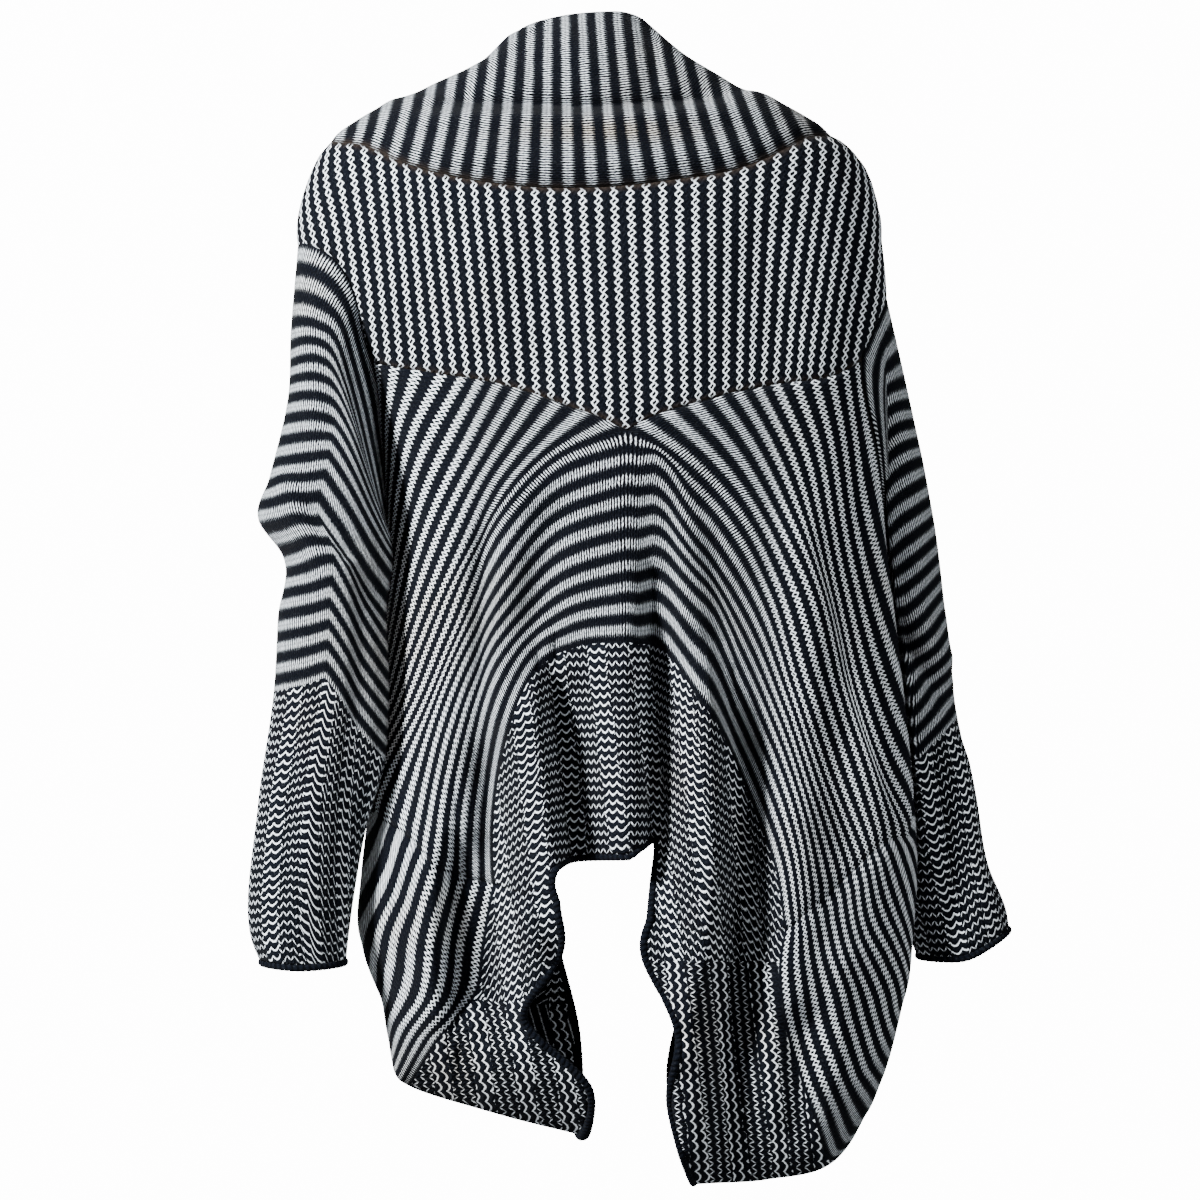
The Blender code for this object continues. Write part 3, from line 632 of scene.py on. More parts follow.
# %% [markdown]
# ## Counting stitches
# A knitted pattern is counted, not measured: so many rows up and so many stitches along. Each
# panel gets a UV map in these units, u in stitches and v in rows. Along a row the stitches
# keep one pitch, and the columns of stitches run square to the rows. Both wishes together are
# a small least-squares problem, solved on a coarse grid and read smoothly on the fine one.
# The marl of the hanging panels is stretched by its own weight, so its columns run straight
# down the picture and are counted by the way across the pleats instead.

# %% Stitch counts
ROWS_PER_STRIPE = 4.0    # two light rows and two dark ones
KNIT_PITCH = 0.0037      # metres from one column of stitches to the next
MARL_STITCH = 7.5        # picture points across a stitch of the hanging marl
MARL_LEVEL = 4.45        # picture points down from one of its rows to the next
MARL_RIB = 41.0          # picture points from one of its ribs to the next
MARL_ROW = 0.0033        # height of a row of marl
MARL_WIDTH = 0.66        # the marl is looser: fewer stitches in the same width
SQUARE_WISH = 0.35       # how much square columns count beside an even pitch


def stitch_columns(grid, pitch, straight_rows=None, kink=None):
    """Stitch count at each point of a grid whose rows are courses: least squares over a coarse
    grid of (change along a row = length/pitch) and (change between rows = the step's part
    along the row/pitch), with the first column held at 0 on the rows named. Near a kink
    every row is solved for."""
    rows, columns = grid.shape[:2]
    i = np.linspace(0, rows - 1, 28).round().astype(int)
    if kink is not None:
        i = np.concatenate([i, np.arange(kink - 4, kink + 5)])
    i = np.unique(i)
    j = np.unique(np.linspace(0, columns - 1, 24).round().astype(int))
    coarse = grid[np.ix_(i, j)]
    index = np.arange(len(i)*len(j)).reshape(len(i), len(j))
    along = np.diff(coarse, axis=1)
    tangent = np.gradient(coarse, axis=1)
    tangent /= np.linalg.norm(tangent, axis=-1, keepdims=True) + 1e-9
    between = np.diff(coarse, axis=0)
    mean_tangent = (tangent[1:] + tangent[:-1])/2
    span = np.linalg.norm(along, axis=-1) + 1e-5
    rise = np.linalg.norm(between, axis=-1) + 1e-5
    pairs = np.concatenate([
        np.stack([index[:, :-1].ravel(), index[:, 1:].ravel()], 1),
        np.stack([index[:-1].ravel(), index[1:].ravel()], 1),
    ])
    wish = np.concatenate([span.ravel()/pitch, ((between*mean_tangent).sum(-1)/pitch).ravel()])
    weight = np.concatenate([1/span.ravel(), SQUARE_WISH/rise.ravel()])
    matrix = np.zeros((len(pairs), index.size))
    rank = np.arange(len(pairs))
    matrix[rank, pairs[:, 0]] = -weight
    matrix[rank, pairs[:, 1]] = weight
    square = matrix.T @ matrix + np.eye(index.size)*1e-6
    if straight_rows is not None:
        square[index[straight_rows[i], 0], index[straight_rows[i], 0]] += 1e6
    count = np.linalg.solve(square, matrix.T @ (wish*weight)).reshape(index.shape)
    fine = np.stack([np.interp(np.arange(rows), i, column) for column in count.T], 1)
    return smooth(np.column_stack([j, fine.T]), list(range(1, rows + 1)), np.arange(columns)).T


def ring_marl(grid, stitches, courses, marl_course):
    """Marl counts of a tube: its stitches are wider, and each column's rows are its length
    from the first marl course, over a row's height."""
    step = np.linalg.norm(np.diff(grid, axis=0, prepend=grid[:1]), axis=-1)
    step *= (courses >= marl_course)[:, None]
    spread = np.hanning(13)/np.hanning(13).sum()
    step = np.stack([np.convolve(np.pad(row, 6, "edge"), spread, "valid") for row in step])
    wide = stitches*MARL_WIDTH
    return wide, step.cumsum(0)/MARL_ROW, wide/5.5


PLEAT_ACROSS = np.arange(360.0, 901.0, 3.0)
PLEAT_DOWN = np.arange(540.0, 1221.0, 10.0)
ROW_SLOPE = np.array([
    # across the picture, how steeply the marl rows rise to the right there
    (360, 1.2), (480, 1.2), (505, 1.0), (520, 0.85), (540, 0.75), (556, 0.2), (575, 0),
    (640, 0), (660, -0.4), (680, -0.75), (735, -0.85), (760, -1.1), (900, -1.2),
])


def pleat_counts():
    """For a grid of picture places: the way across over the pleats, in picture points from the
    centre back. It adds up sqrt(1 + slope^2), the slope being that of the folds' depth."""
    across, down = np.meshgrid(PLEAT_ACROSS, PLEAT_DOWN)
    reach = 2.9/(PICTURE/FRAME_WIDTH*3.0)
    points = np.stack([(across - 600)*reach, np.full(across.shape, -0.1),
                       CAMERA_PLACE[2] - (down - 600)*reach], -1)
    slope = np.gradient(fold_depth(points, BACK_FOLDS), axis=1)/(3*reach)
    way = (3*np.sqrt(1 + np.clip(slope, -1.6, 1.6)**2)).cumsum(1)
    spread = np.hanning(23)/np.hanning(23).sum()
    way = np.stack([np.convolve(np.pad(line, 11, "edge"), spread, "valid") for line in way.T], 1)
    return way - way[:, [np.abs(PLEAT_ACROSS - 627).argmin()]]


PLEAT_WAY = pleat_counts()
ROW_LIFT = (3*np.interp(PLEAT_ACROSS, *ROW_SLOPE.T)).cumsum()


def hung_marl(grid):
    """Marl counts of the hanging panels: columns run straight down the picture, counted by
    the way across the pleats, and rows are counted down the picture along slanting lines."""
    place = in_picture(grid)
    x, y = place[..., 0], place[..., 1]
    i = np.clip((y - PLEAT_DOWN[0])/10, 0, len(PLEAT_DOWN) - 1.001)
    j = np.clip((x - PLEAT_ACROSS[0])/3, 0, len(PLEAT_ACROSS) - 1.001)
    i0, j0 = i.astype(int), j.astype(int)
    ri, rj = i - i0, j - j0
    way = ((PLEAT_WAY[i0, j0]*(1 - rj) + PLEAT_WAY[i0, j0 + 1]*rj)*(1 - ri)
           + (PLEAT_WAY[i0 + 1, j0]*(1 - rj) + PLEAT_WAY[i0 + 1, j0 + 1]*rj)*ri)
    lift = np.interp(x, PLEAT_ACROSS, ROW_LIFT)
    rib = (x - 0.12*(y - 760) - 610)/MARL_RIB
    return way/MARL_STITCH, (y + lift)/MARL_LEVEL, rib


print("stitch pitch: %.1f mm" % (KNIT_PITCH/MM))

# %% [markdown]
# ## From a grid to cloth
# A panel is a thin shell: the grid becomes a mesh with `from_pydata`, the stitch counts become
# its UV map, and a Solidify modifier gives the wall. The second material slot is for the
# inside, where the knitting shows its other face. Two halves of one panel are welded.

# %% Cloth from grids
WALL = 0.0026            # thickness of the knitted cloth


def square_to(grid):
    """Normals of a grid: the cross product of its two directions, at unit length."""
    normal = np.cross(np.gradient(grid, axis=1), np.gradient(grid, axis=0))
    return normal/(np.linalg.norm(normal, axis=-1, keepdims=True) + 1e-12)


def faces_out(grid):
    """True if the grid's normals point away from the middle of the garment."""
    away = grid - grid.reshape(-1, 3).mean(0)*np.array([0, 0, 1.0])
    away[..., 2] = 0
    return (square_to(grid)*away).sum() > 0


def cloth(name, panels, out=None):
    """A knitted panel: quads between neighbouring grid points, one UV corner each, welded
    where halves meet. Panels are (grid, stitches, rows, marks), the marks being values at
    each point, and out says if the grid's normals point outwards already."""
    points, quads, corners, marl_corners, first = [], [], [], [], 0
    marks = {label: [] for label in ("purl", "seam", "warm", "marl", "rib")}
    for grid, stitches, rows, given in panels:
        count = grid.shape[:2]
        index = np.arange(count[0]*count[1]).reshape(count)
        quad = np.stack([index[:-1, :-1], index[:-1, 1:], index[1:, 1:], index[1:, :-1]], -1)
        quad = quad.reshape(-1, 4)
        if not (faces_out(grid) if out is None else out):
            quad = quad[:, ::-1]
        corners.append(np.stack([stitches, rows], -1).reshape(-1, 2)[quad].reshape(-1, 2))
        loose = np.stack(given.get("loose", (stitches, rows)), -1).reshape(-1, 2)[quad]
        if "turned" in given:
            stitches_2, rows_2, where = given["turned"]
            turned = np.stack([stitches_2, rows_2], -1).reshape(-1, 2)[quad]
            where = where.ravel()[quad].mean(1) > 0.5
            loose = np.where(where[:, None, None], turned, loose)
        marl_corners.append(loose.reshape(-1, 2))
        points.append(grid.reshape(-1, 3))
        for label in marks:
            marks[label].append(np.broadcast_to(given.get(label, 0.0), count).ravel())
        quads.append(quad + first)
        first += index.size
    mesh = bpy.data.meshes.new(name)
    mesh.from_pydata(np.vstack(points), [], np.vstack(quads))
    mesh.uv_layers.new(name="stitches").data.foreach_set("uv", np.vstack(corners).ravel())
    mesh.uv_layers.new(name="marl_stitches").data.foreach_set(
        "uv", np.vstack(marl_corners).ravel())
    for label, values in marks.items():
        mark = mesh.attributes.new(label, "FLOAT", "POINT")
        mark.data.foreach_set("value", np.concatenate(values).astype(np.float32))
    mesh.validate()
    piece = bpy.data.objects.new(name, mesh)
    bpy.context.scene.collection.objects.link(piece)
    weld = piece.modifiers.new("weld halves", "WELD")
    weld.merge_threshold = 0.00002
    wall = piece.modifiers.new("wall", "SOLIDIFY")
    wall.thickness = WALL
    wall.offset = 0
    wall.material_offset = 1
    mesh.shade_smooth()
    print("%s: %d points, %d faces" % (name, len(mesh.vertices), len(mesh.polygons)))
    return piece


def cut_size(grids):
    """The flat size of a panel: its longest row, its longest column, and its area."""
    wide = sum(np.linalg.norm(np.diff(g, axis=1), axis=-1).sum(1).max() for g in grids)
    tall = max(np.linalg.norm(np.diff(g, axis=0), axis=-1).sum(0).max() for g in grids)
    area = 0.0
    for g in grids:
        one = np.cross(g[1:, 1:] - g[:-1, :-1], g[:-1, 1:] - g[1:, :-1])
        area += np.linalg.norm(one, axis=-1).sum()/2
    return wide, tall, area


def by_edge(grid, edges, reach):
    """How close each point is to the named edges: exp(-(d/reach)^2), d being the distance
    from the edge along the grid, added up and kept at 1 or less."""
    down = np.linalg.norm(np.diff(grid, axis=0, prepend=grid[:1]), axis=-1).cumsum(0)
    across = np.linalg.norm(np.diff(grid, axis=1, prepend=grid[:, :1]), axis=-1).cumsum(1)
    away = {"top": down, "bottom": down[-1:] - down,
            "first": across, "last": across[:, -1:] - across}
    return np.clip(sum(np.exp(-(away[edge]/reach)**2) for edge in edges), 0, 1)


def sunk_edge(grid, edges, depth=0.0016, reach=0.006):
    """The grid with its seam edges sunk: a move along minus the normal of depth times how
    close the point is to an edge."""
    normal = square_to(grid)*(1 if faces_out(grid) else -1)
    return grid - normal*(depth*by_edge(grid, edges, reach))[..., None]


pieces = {}
print("wall of the cloth: %.1f mm" % (WALL/MM))

# %% [markdown]
# ## Sewing the lower back
# Two grids, left and right, share the centre back. Rows of stitches follow the courses, with
# marl from course 22 down. Towards the sides the cloth shows its purl face, which is stored
# point by point as an attribute for the shader.

# %% Build the lower back
MARL_COURSE = 22.0
courses = np.concatenate([np.linspace(0, 0.5, 4)[:-1], np.linspace(0.5, HEM_COURSE, 129)])
stations = np.linspace(0, 5, 62)
panels = []
for side in SIDES:
    grid = folded(lower_back_half(side, courses, stations))
    grid = sunk_edge(grid, ["top", "last"])
    straight = courses >= APEX_COURSE
    stitches = stitch_columns(grid, KNIT_PITCH, straight, kink=int(straight.argmax()))
    rows = np.broadcast_to(ROWS_PER_STRIPE*courses[:, None], stitches.shape)
    loose, loose_rows, rib = hung_marl(grid)
    place = in_picture(grid)
    if side == "left":
        purl = ease(-place[..., 0], -500, -440)
    else:
        purl = ease(place[..., 0], 745, 800)
    marks = {"purl": purl*ease(-courses, -23, -21.5)[:, None], "rib": rib,
             "marl": np.clip(courses - MARL_COURSE + 0.5, 0, 1)[:, None],
             # seam: dark brown painted shade along the V seam
             "seam": by_edge(grid, ["top"], 0.0015)*0.9*(courses < 14)[:, None],
             "loose": (loose, loose_rows)}
    panels.append((grid, stitches, rows, marks))
pieces["lower_back"] = cloth("lower_back_knit", panels)
sizes = {"lower_back": cut_size([panel[0] for panel in panels])}

# %% [markdown]
# ## Sewing the fronts
# The fronts carry on the lower back's courses past the side seam, so their stitch counts use
# the same rows and the stripes run on without a break, down to the fold and up the far side.
# Near the bottom the cloth has swung round, and the marl rows stand almost upright there.

# %% Build the fronts
TURNED_ROW = 4.4         # picture points across from one upright marl row to the next
TURNED_MARL = {
    # lean of the upright rows, and how far down the picture they start
    "left": (0.3, 1000.0), "right": (0.1, 960.0),
}
for side in SIDES:
    first = SIDE_COURSE[side]
    courses = np.concatenate([np.linspace(first, first + 0.5, 4)[:-1],
                              np.linspace(first + 0.5, HEM_COURSE, 110)])
    stations = np.concatenate([np.linspace(0, 4, 70)[:-1], np.linspace(4, 12, 110)])
    grid = folded(front(side, courses, stations))
    grid = sunk_edge(grid, ["top", "first", "last"])
    stitches = stitch_columns(grid, KNIT_PITCH)
    rows = np.broadcast_to(ROWS_PER_STRIPE*courses[:, None], stitches.shape)
    loose, loose_rows, rib = hung_marl(grid)
    purl = np.broadcast_to(1 - ease(stations, 2.6, 3.6)[None], grid.shape[:2])
    x, y = in_picture(grid)[..., 0], in_picture(grid)[..., 1]
    lean, turn_level = TURNED_MARL[side]
    turned = y/MARL_STITCH, (x - lean*y)/TURNED_ROW, (y > turn_level)*1.0
    warm = 0.5*np.exp(-((x - 455)**2 + (y - 1070)**2)/34**2)
    marks = {"purl": purl*ease(-courses, -23, -21.5)[:, None], "rib": rib,
             "marl": np.clip(courses - MARL_COURSE + 0.5, 0, 1)[:, None],
             "loose": (loose, loose_rows), "turned": turned, "warm": warm}
    pieces["front_" + side] = cloth("front_%s_knit" % side, [(grid, stitches, rows, marks)])
    sizes["front_" + side] = cut_size([grid])

# %% [markdown]
# ## Sewing the yoke
# On the yoke the stripes stand upright, so the rows of knitting run down the panel and the
# count across comes from where each fourth stripe lies at two heights of the picture. Where
# the panel turns away at the shoulders its own length counts, so that no stripe gets too
# wide. Its purl face is out, and its loops are larger than the knit stitches.

# %% Build the yoke
YOKE_STRIPES = np.array([
    # stripe, across the picture at 200 down, across at 340 down
    (-24, 279, 315), (-20, 331, 352), (-16, 385, 399), (-12, 435, 451), (-8, 489, 503),
    (-4, 551, 562), (0, 614, 621), (4, 679, 683), (8, 743, 740), (12, 804, 790),
    (16, 855, 835), (18, 882, 857), (22, 930, 905),
], float)
YOKE_PITCH = 0.0058
YOKE_STRIPE = 0.016      # metres, the widest that a stripe gets where the yoke turns away


def stripe_number(points, table, levels):
    """The stripe at each point: the table is read backwards at its two levels of the picture,
    and the two answers are mixed by how far down the point is."""
    place = in_picture(points)
    high = np.interp(place[..., 0], table[:, 1], table[:, 0])
    low = np.interp(place[..., 0], table[:, 2], table[:, 0])
    part = (place[..., 1] - levels[0])/(levels[1] - levels[0])
    return high + (low - high)*np.clip(part, -0.5, 1.8)


across = np.linspace(0, 1, 121)
down = np.linspace(0, 1, 76)
grid = folded(yoke(across, down))
grid = sunk_edge(grid, ["top", "bottom", "first", "last"])
number = stripe_number(grid, YOKE_STRIPES, (200, 340))
step = np.linalg.norm(np.diff(grid, axis=1), axis=-1)/YOKE_STRIPE
way = np.pad(np.maximum(np.diff(number, axis=1), step).cumsum(1), ((0, 0), (1, 0)))
centre = len(across)//2
number = way + (number - way)[:, centre:centre + 1]
rows = ROWS_PER_STRIPE*(number + 0.5)
loops = -grid[..., 2]/YOKE_PITCH
# seam: dark brown painted shade along the yoke's top and bottom seams
marks = {"purl": 1.0, "seam": by_edge(grid, ["top", "bottom"], 0.0026)}
pieces["back_yoke"] = cloth("back_yoke_knit", [(grid, loops, rows, marks)])
sizes["back_yoke"] = cut_size([grid])

# %% [markdown]
# ## Sewing the collar
# The collar's stripes also stand upright at the back. Round at the front they follow the
# length of the collar, so the stripe count goes on with the distance along each row from the
# shoulder line. A maker would sew the strip on in one go, and it is one grid here too.

# %% Build the collar
COLLAR_STRIPES = np.array([
    # stripe, across the picture at 60 down, across at 140 down
    (-16, 290, 268), (-13, 346, 324), (-10, 402, 380), (-7, 459, 443), (-4, 514, 506),
    (0, 586, 591), (4, 661, 679), (7, 718, 746), (10, 775, 812), (14, 850, 903),
], float)
COLLAR_STRIPE = 0.0162   # metres from one light stripe to the next


def round_the_front(number, grid, turns, sign):
    """Stripe numbers carried past the shoulder line: the number there plus the length along
    the row over the width of a stripe."""
    edge = np.abs(turns*sign - 90).argmin()
    step = np.linalg.norm(np.diff(grid, axis=1, prepend=grid[:, :1]), axis=-1).cumsum(1)
    gone = (step - step[:, edge:edge + 1])/COLLAR_STRIPE
    beyond = (turns*sign > 90)[None, :]
    return np.where(beyond, number[:, edge:edge + 1] + gone, number)


turns = np.concatenate([np.linspace(-160, -90, 61)[:-1], np.linspace(-90, 90, 111),
                        np.linspace(90, 160, 61)[1:]])
rises = np.linspace(0, 1, 62)
grid = collar(turns, rises)
CREASES = (
    # depth out (mm), width above and below (picture points), line (across, down)
    (-7, 6, 6, ((420, 108), (470, 104), (530, 104), (590, 106), (680, 101), (740, 98))),
    (4, 9, 9, ((410, 124), (470, 118), (530, 117), (600, 119), (690, 114), (770, 116))),
    (3, 14, 14, ((400, 150), (500, 164), (600, 170), (700, 158), (780, 138))),
    (3, 9, 11, ((560, 20), (575, 50), (600, 80))),
    (-3, 10, 10, ((520, 48), (540, 76), (560, 98))),
    (-3, 9, 9, ((640, 30), (655, 60), (650, 95))),
)
behind = ease(-grid[..., 1], -0.01, 0.03)
grid[..., 1] -= fold_depth(grid, CREASES)*behind
grid = sunk_edge(grid, ["top"], depth=0.002)
number = stripe_number(grid, COLLAR_STRIPES, (60, 140))
number = round_the_front(round_the_front(number, grid, turns, -1), grid, turns, 1)
length = np.linalg.norm(np.diff(grid, axis=0, prepend=grid[:1]), axis=-1).cumsum(0)
place = in_picture(grid)
# a beige tint below the collar's roll, on its back: painted shade
roll_shade_tint = np.exp(-((place[..., 0] - 610)/85)**2 - ((place[..., 1] - 131)/12)**2)*behind
# seam: dark brown painted shade along the collar's neck seam
marks = {"seam": by_edge(grid, ["top"], 0.0030), "warm": 0.9*roll_shade_tint}
pieces["collar"] = cloth("collar_knit", [
    (grid, length/KNIT_PITCH, ROWS_PER_STRIPE*(number + 0.5), marks)])
sizes["collar"] = cut_size([grid])

# %% [markdown]
# ## Sewing the sleeves
# A sleeve is knitted flat and closed along the underarm. The grid starts and ends on that
# line, inside the sleeve, so the stitch count may jump there as it does at a real seam. The
# crease and two elbow folds are soft ridges along lines, as on the back.

# %% Build the sleeves
SLEEVE_MARL = 20.4
SLEEVE_FOLDS = {
    "left": (
        # depth out (mm), width left and right (picture points), line (across, down)
        (4, 16, 20, ((346, 400), (342, 506), (339, 562), (335, 640), (328, 700), (322, 800))),
        (-5, 12, 14, ((300, 500), (330, 540), (352, 560))),
        (4, 12, 12, ((284, 470), (300, 520), (330, 580))),
        (-4, 12, 16, ((360, 560), (362, 640), (356, 720), (346, 820), (338, 930))),
        (-3, 12, 12, ((296, 720), (292, 800), (284, 900))),
        (3, 12, 12, ((310, 720), (306, 800), (300, 940))),
        (-4, 14, 14, ((320, 300), (330, 380), (332, 440))),
    ),
    "right": (
        (4, 14, 16, ((902, 420), (915, 520), (925, 600), (930, 660))),
        (-6, 12, 12, ((893, 620), (915, 668), (945, 705))),
        (4, 12, 12, ((900, 590), (925, 640), (950, 670))),
        (-4, 12, 14, ((930, 740), (940, 820), (950, 920))),
        (4, 14, 14, ((960, 740), (968, 820), (982, 920))),
        (-3, 10, 12, ((905, 480), (925, 560), (935, 620))),
    ),
}
courses = np.concatenate([np.linspace(0, 0.6, 4)[:-1], np.linspace(0.6, 32, 150)])
ways = np.linspace(180, 540, 97)     # from the underarm seam once round to it again
sleeve_grids = {}
for side in SIDES:
    grid = sleeve(side, courses, ways)
    grid += (folded(grid) - grid)*(1 - ease(courses, 0.5, 3.5))[:, None, None]
    grid[:, -1] = grid[:, 0]
    middle = grid.mean(1, keepdims=True)
    out = (grid - middle)/(np.linalg.norm(grid - middle, axis=-1, keepdims=True) + 1e-9)
    near = ease(-out[..., 1], -0.1, 0.5)
    far = ease(out[..., 1], -0.1, 0.5)
    deep = fold_depth(grid, SLEEVE_FOLDS[side])
    move = deep*near + np.roll(deep, 6, 0)*far
    clear = ease(courses, 0.4, 2.0)[:, None]
    grid = grid + out*(move*clear)[..., None]
    grid[:, -1] = grid[:, 0]
    stitches = stitch_columns(grid, KNIT_PITCH)
    rows = np.broadcast_to(ROWS_PER_STRIPE*courses[:, None], stitches.shape)
    loose, loose_rows, rib = ring_marl(grid, stitches, courses, SLEEVE_MARL)
    marks = {"marl": np.clip(courses - SLEEVE_MARL + 0.5, 0, 1)[:, None], "rib": rib,
             "loose": (loose, loose_rows)}
    outward = (square_to(grid)*out).sum() > 0
    pieces["sleeve_" + side] = cloth(
        "sleeve_%s_knit" % side, [(grid, stitches, rows, marks)], out=outward)
    sizes["sleeve_" + side] = cut_size([grid])
    sleeve_grids[side] = grid

# %% [markdown]
# ## Rolled edges
# The hem, the front edges and both cuffs end in a thick dark cast-off edge. It is a cord of
# stitches: a circle carried along the edge, whose radius swells once for each stitch. More
# than six hundred stitches make it, so the swelling is in the formula, not in copies.

# %% Rolled edges
BINDING_RADIUS = 0.0029
CUFF_RADIUS = 0.0030
EDGE_PITCH = 0.0042      # metres along the edge for each cast-off stitch


def along_path(path, spacing, closed=False):
    """The path at even steps: its points are read again at equal lengths along it."""
    if closed:
        path = np.vstack([path, path[:1]])
    length = np.concatenate([[0], np.linalg.norm(np.diff(path, axis=0), axis=1).cumsum()])
    count = int(length[-1]/spacing) + 1
    where = np.linspace(0, length[-1], count)
    even = np.column_stack([np.interp(where, length, path[:, i]) for i in range(3)])
    return (even[:-1] if closed else even), where[:len(even) - closed]


def rolled_edge(name, path, radius, closed=False, swell=None):
    """A cord of stitches: at each step of the path a ring square to it, of the radius times
    (0.92 + 0.12 |sin(pi s/pitch + angle/2)|), so that each stitch is a slanted swelling."""
    path, length = along_path(path, EDGE_PITCH/5, closed)
    if closed:
        tangent = np.roll(path, -1, 0) - np.roll(path, 1, 0)
    else:
        tangent = np.gradient(path, axis=0)
    tangent /= np.linalg.norm(tangent, axis=1)[:, None]
    away = path - path.mean(0)
    side = np.cross(tangent, away)
    side /= np.linalg.norm(side, axis=1)[:, None] + 1e-9
    up = np.cross(side, tangent)
    angle = np.linspace(0, 2*np.pi, 13)[:-1]
    beat = np.abs(np.sin(np.pi*length[:, None]/EDGE_PITCH + angle[None]/2))
    size = radius*(0.92 + 0.12*beat)
    if swell is not None:
        size = size*swell(path)[:, None]
    ring = (side[:, None]*np.cos(angle)[None, :, None] + up[:, None]*np.sin(angle)[None, :, None])
    grid = path[:, None] + ring*size[..., None]
    rows, columns = grid.shape[:2]
    i = np.arange(rows if closed else rows - 1)[:, None]
    j = np.arange(columns)[None]
    i2, j2 = (i + 1) % rows, (j + 1) % columns
    quads = np.stack([i*columns + j, i*columns + j2, i2*columns + j2, i2*columns + j], -1)
    faces = quads.reshape(-1, 4).tolist()
    if not closed:
        faces += [list(range(columns))[::-1], list(range((rows - 1)*columns, rows*columns))]
    corners = np.broadcast_arrays(length[:, None]/EDGE_PITCH, angle[None]/(2*np.pi)*4)
    corners = np.stack(corners, -1).reshape(-1, 2)
    mesh = bpy.data.meshes.new(name)
    mesh.from_pydata(grid.reshape(-1, 3), [], faces)
    used = np.empty(len(mesh.loops), int)
    mesh.loops.foreach_get("vertex_index", used)
    mesh.uv_layers.new(name="stitches").data.foreach_set("uv", corners[used].ravel())
    mesh.shade_smooth()
    middle = grid.mean(1, keepdims=True)
    normal = np.cross(grid[0, 1] - grid[0, 0], grid[1, 0] - grid[0, 0])
    if (normal*(grid[0, 0] - middle[0, 0])).sum() < 0:
        mesh.flip_normals()
    piece = bpy.data.objects.new(name, mesh)
    bpy.context.scene.collection.objects.link(piece)
    print("%s: %.2f m long, %d stitches" % (name, length[-1], length[-1]/EDGE_PITCH))
    return piece


def below(grid, distance):
    """The line this far beyond the last row of a grid, square to that row."""
    along = np.gradient(grid[-1], axis=0)
    along /= np.linalg.norm(along, axis=-1, keepdims=True)
    step = grid[-1] - grid[-2]
    step -= (step*along).sum(-1, keepdims=True)*along
    return grid[-1] + step/np.linalg.norm(step, axis=-1, keepdims=True)*distance


def binding_half(side):
    """The hem and front edge of one side: the last course of the lower back, then that of the
    front, both moved out by most of the cord's radius."""
    last = np.array([HEM_COURSE - 0.3, HEM_COURSE])
    back = folded(lower_back_half(side, last, np.linspace(0, 5, 30)))
    panel = folded(front(side, last, np.linspace(0, 12, 150)))
    line = [below(grid, BINDING_RADIUS*0.8) for grid in (back, panel)]
    return np.vstack([line[0][:-1], (line[0][-1:] + line[1][:1])/2, line[1][1:]])


def corner_swell(path):
    """The binding is thicker where it was gathered up at the lower corner of the left front."""
    corner = on_body(-12, -748, 0)
    return 1 + 0.9*np.exp(-(np.linalg.norm(path - corner, axis=1)/0.026)**2)


path = np.vstack([binding_half("left")[::-1], binding_half("right")[1:]])
pieces["edge_binding"] = rolled_edge("edge_binding_knit", path, BINDING_RADIUS, swell=corner_swell)
for side in SIDES:
    path = below(sleeve_grids[side][:, :-1], CUFF_RADIUS*0.8)
    pieces["cuff_edge_" + side] = rolled_edge(
        "cuff_edge_%s_knit" % side, path, CUFF_RADIUS, closed=True)

# %% [markdown]
# ## Node helpers
# The finish is drawn by shader nodes. Two small helpers keep the long sums readable: one
# places a Math node, the other mixes two values or colours.

# %% Node helpers


def calc(tree, operation, *values):
    """A Math node that works out one operation on sockets or plain numbers."""
    node = tree.nodes.new("ShaderNodeMath")
    node.operation = operation
    for socket, value in zip(node.inputs, values):
        if isinstance(value, bpy.types.NodeSocket):
            tree.links.new(value, socket)
        else:
            socket.default_value = value
    return node.outputs[0]


def mix(tree, factor, first, second, kind="FLOAT"):
    """A Mix node: first times (1 - factor) plus second times factor."""
    node = tree.nodes.new("ShaderNodeMix")
    node.data_type = kind
    low, high, out = {"FLOAT": (2, 3, 0), "RGBA": (6, 7, 2)}[kind]
    for socket, value in ((node.inputs[0], factor), (node.inputs[low], first),
                          (node.inputs[high], second)):
        if isinstance(value, bpy.types.NodeSocket):
            tree.links.new(value, socket)
        else:
            socket.default_value = value
    return node.outputs[out]


def noise(tree, vector, scale, detail=2.0):
    """A Noise texture's value on a vector."""
    node = tree.nodes.new("ShaderNodeTexNoise")
    node.inputs["Scale"].default_value = scale
    node.inputs["Detail"].default_value = detail
    tree.links.new(vector, node.inputs["Vector"])
    return node.outputs["Fac"]


def combine(tree, x, y, z=0.0):
    """Three values as one vector."""
    node = tree.nodes.new("ShaderNodeCombineXYZ")
    for socket, value in zip(node.inputs, (x, y, z)):
        if isinstance(value, bpy.types.NodeSocket):
            tree.links.new(value, socket)
        else:
            socket.default_value = value
    return node.outputs[0]


def new_group(name, inputs, outputs):
    """An empty node group with named inputs and outputs, and its two end nodes."""
    tree = bpy.data.node_groups.new(name, "ShaderNodeTree")
    for label, kind, value in inputs:
        socket = tree.interface.new_socket(label, in_out="INPUT", socket_type=kind)
        if value is not None:
            socket.default_value = value
    for label, kind in outputs:
        tree.interface.new_socket(label, in_out="OUTPUT", socket_type=kind)
    start = tree.nodes.new("NodeGroupInput")
    end = tree.nodes.new("NodeGroupOutput")
    return tree, start.outputs, end.inputs


print("node helpers ready")

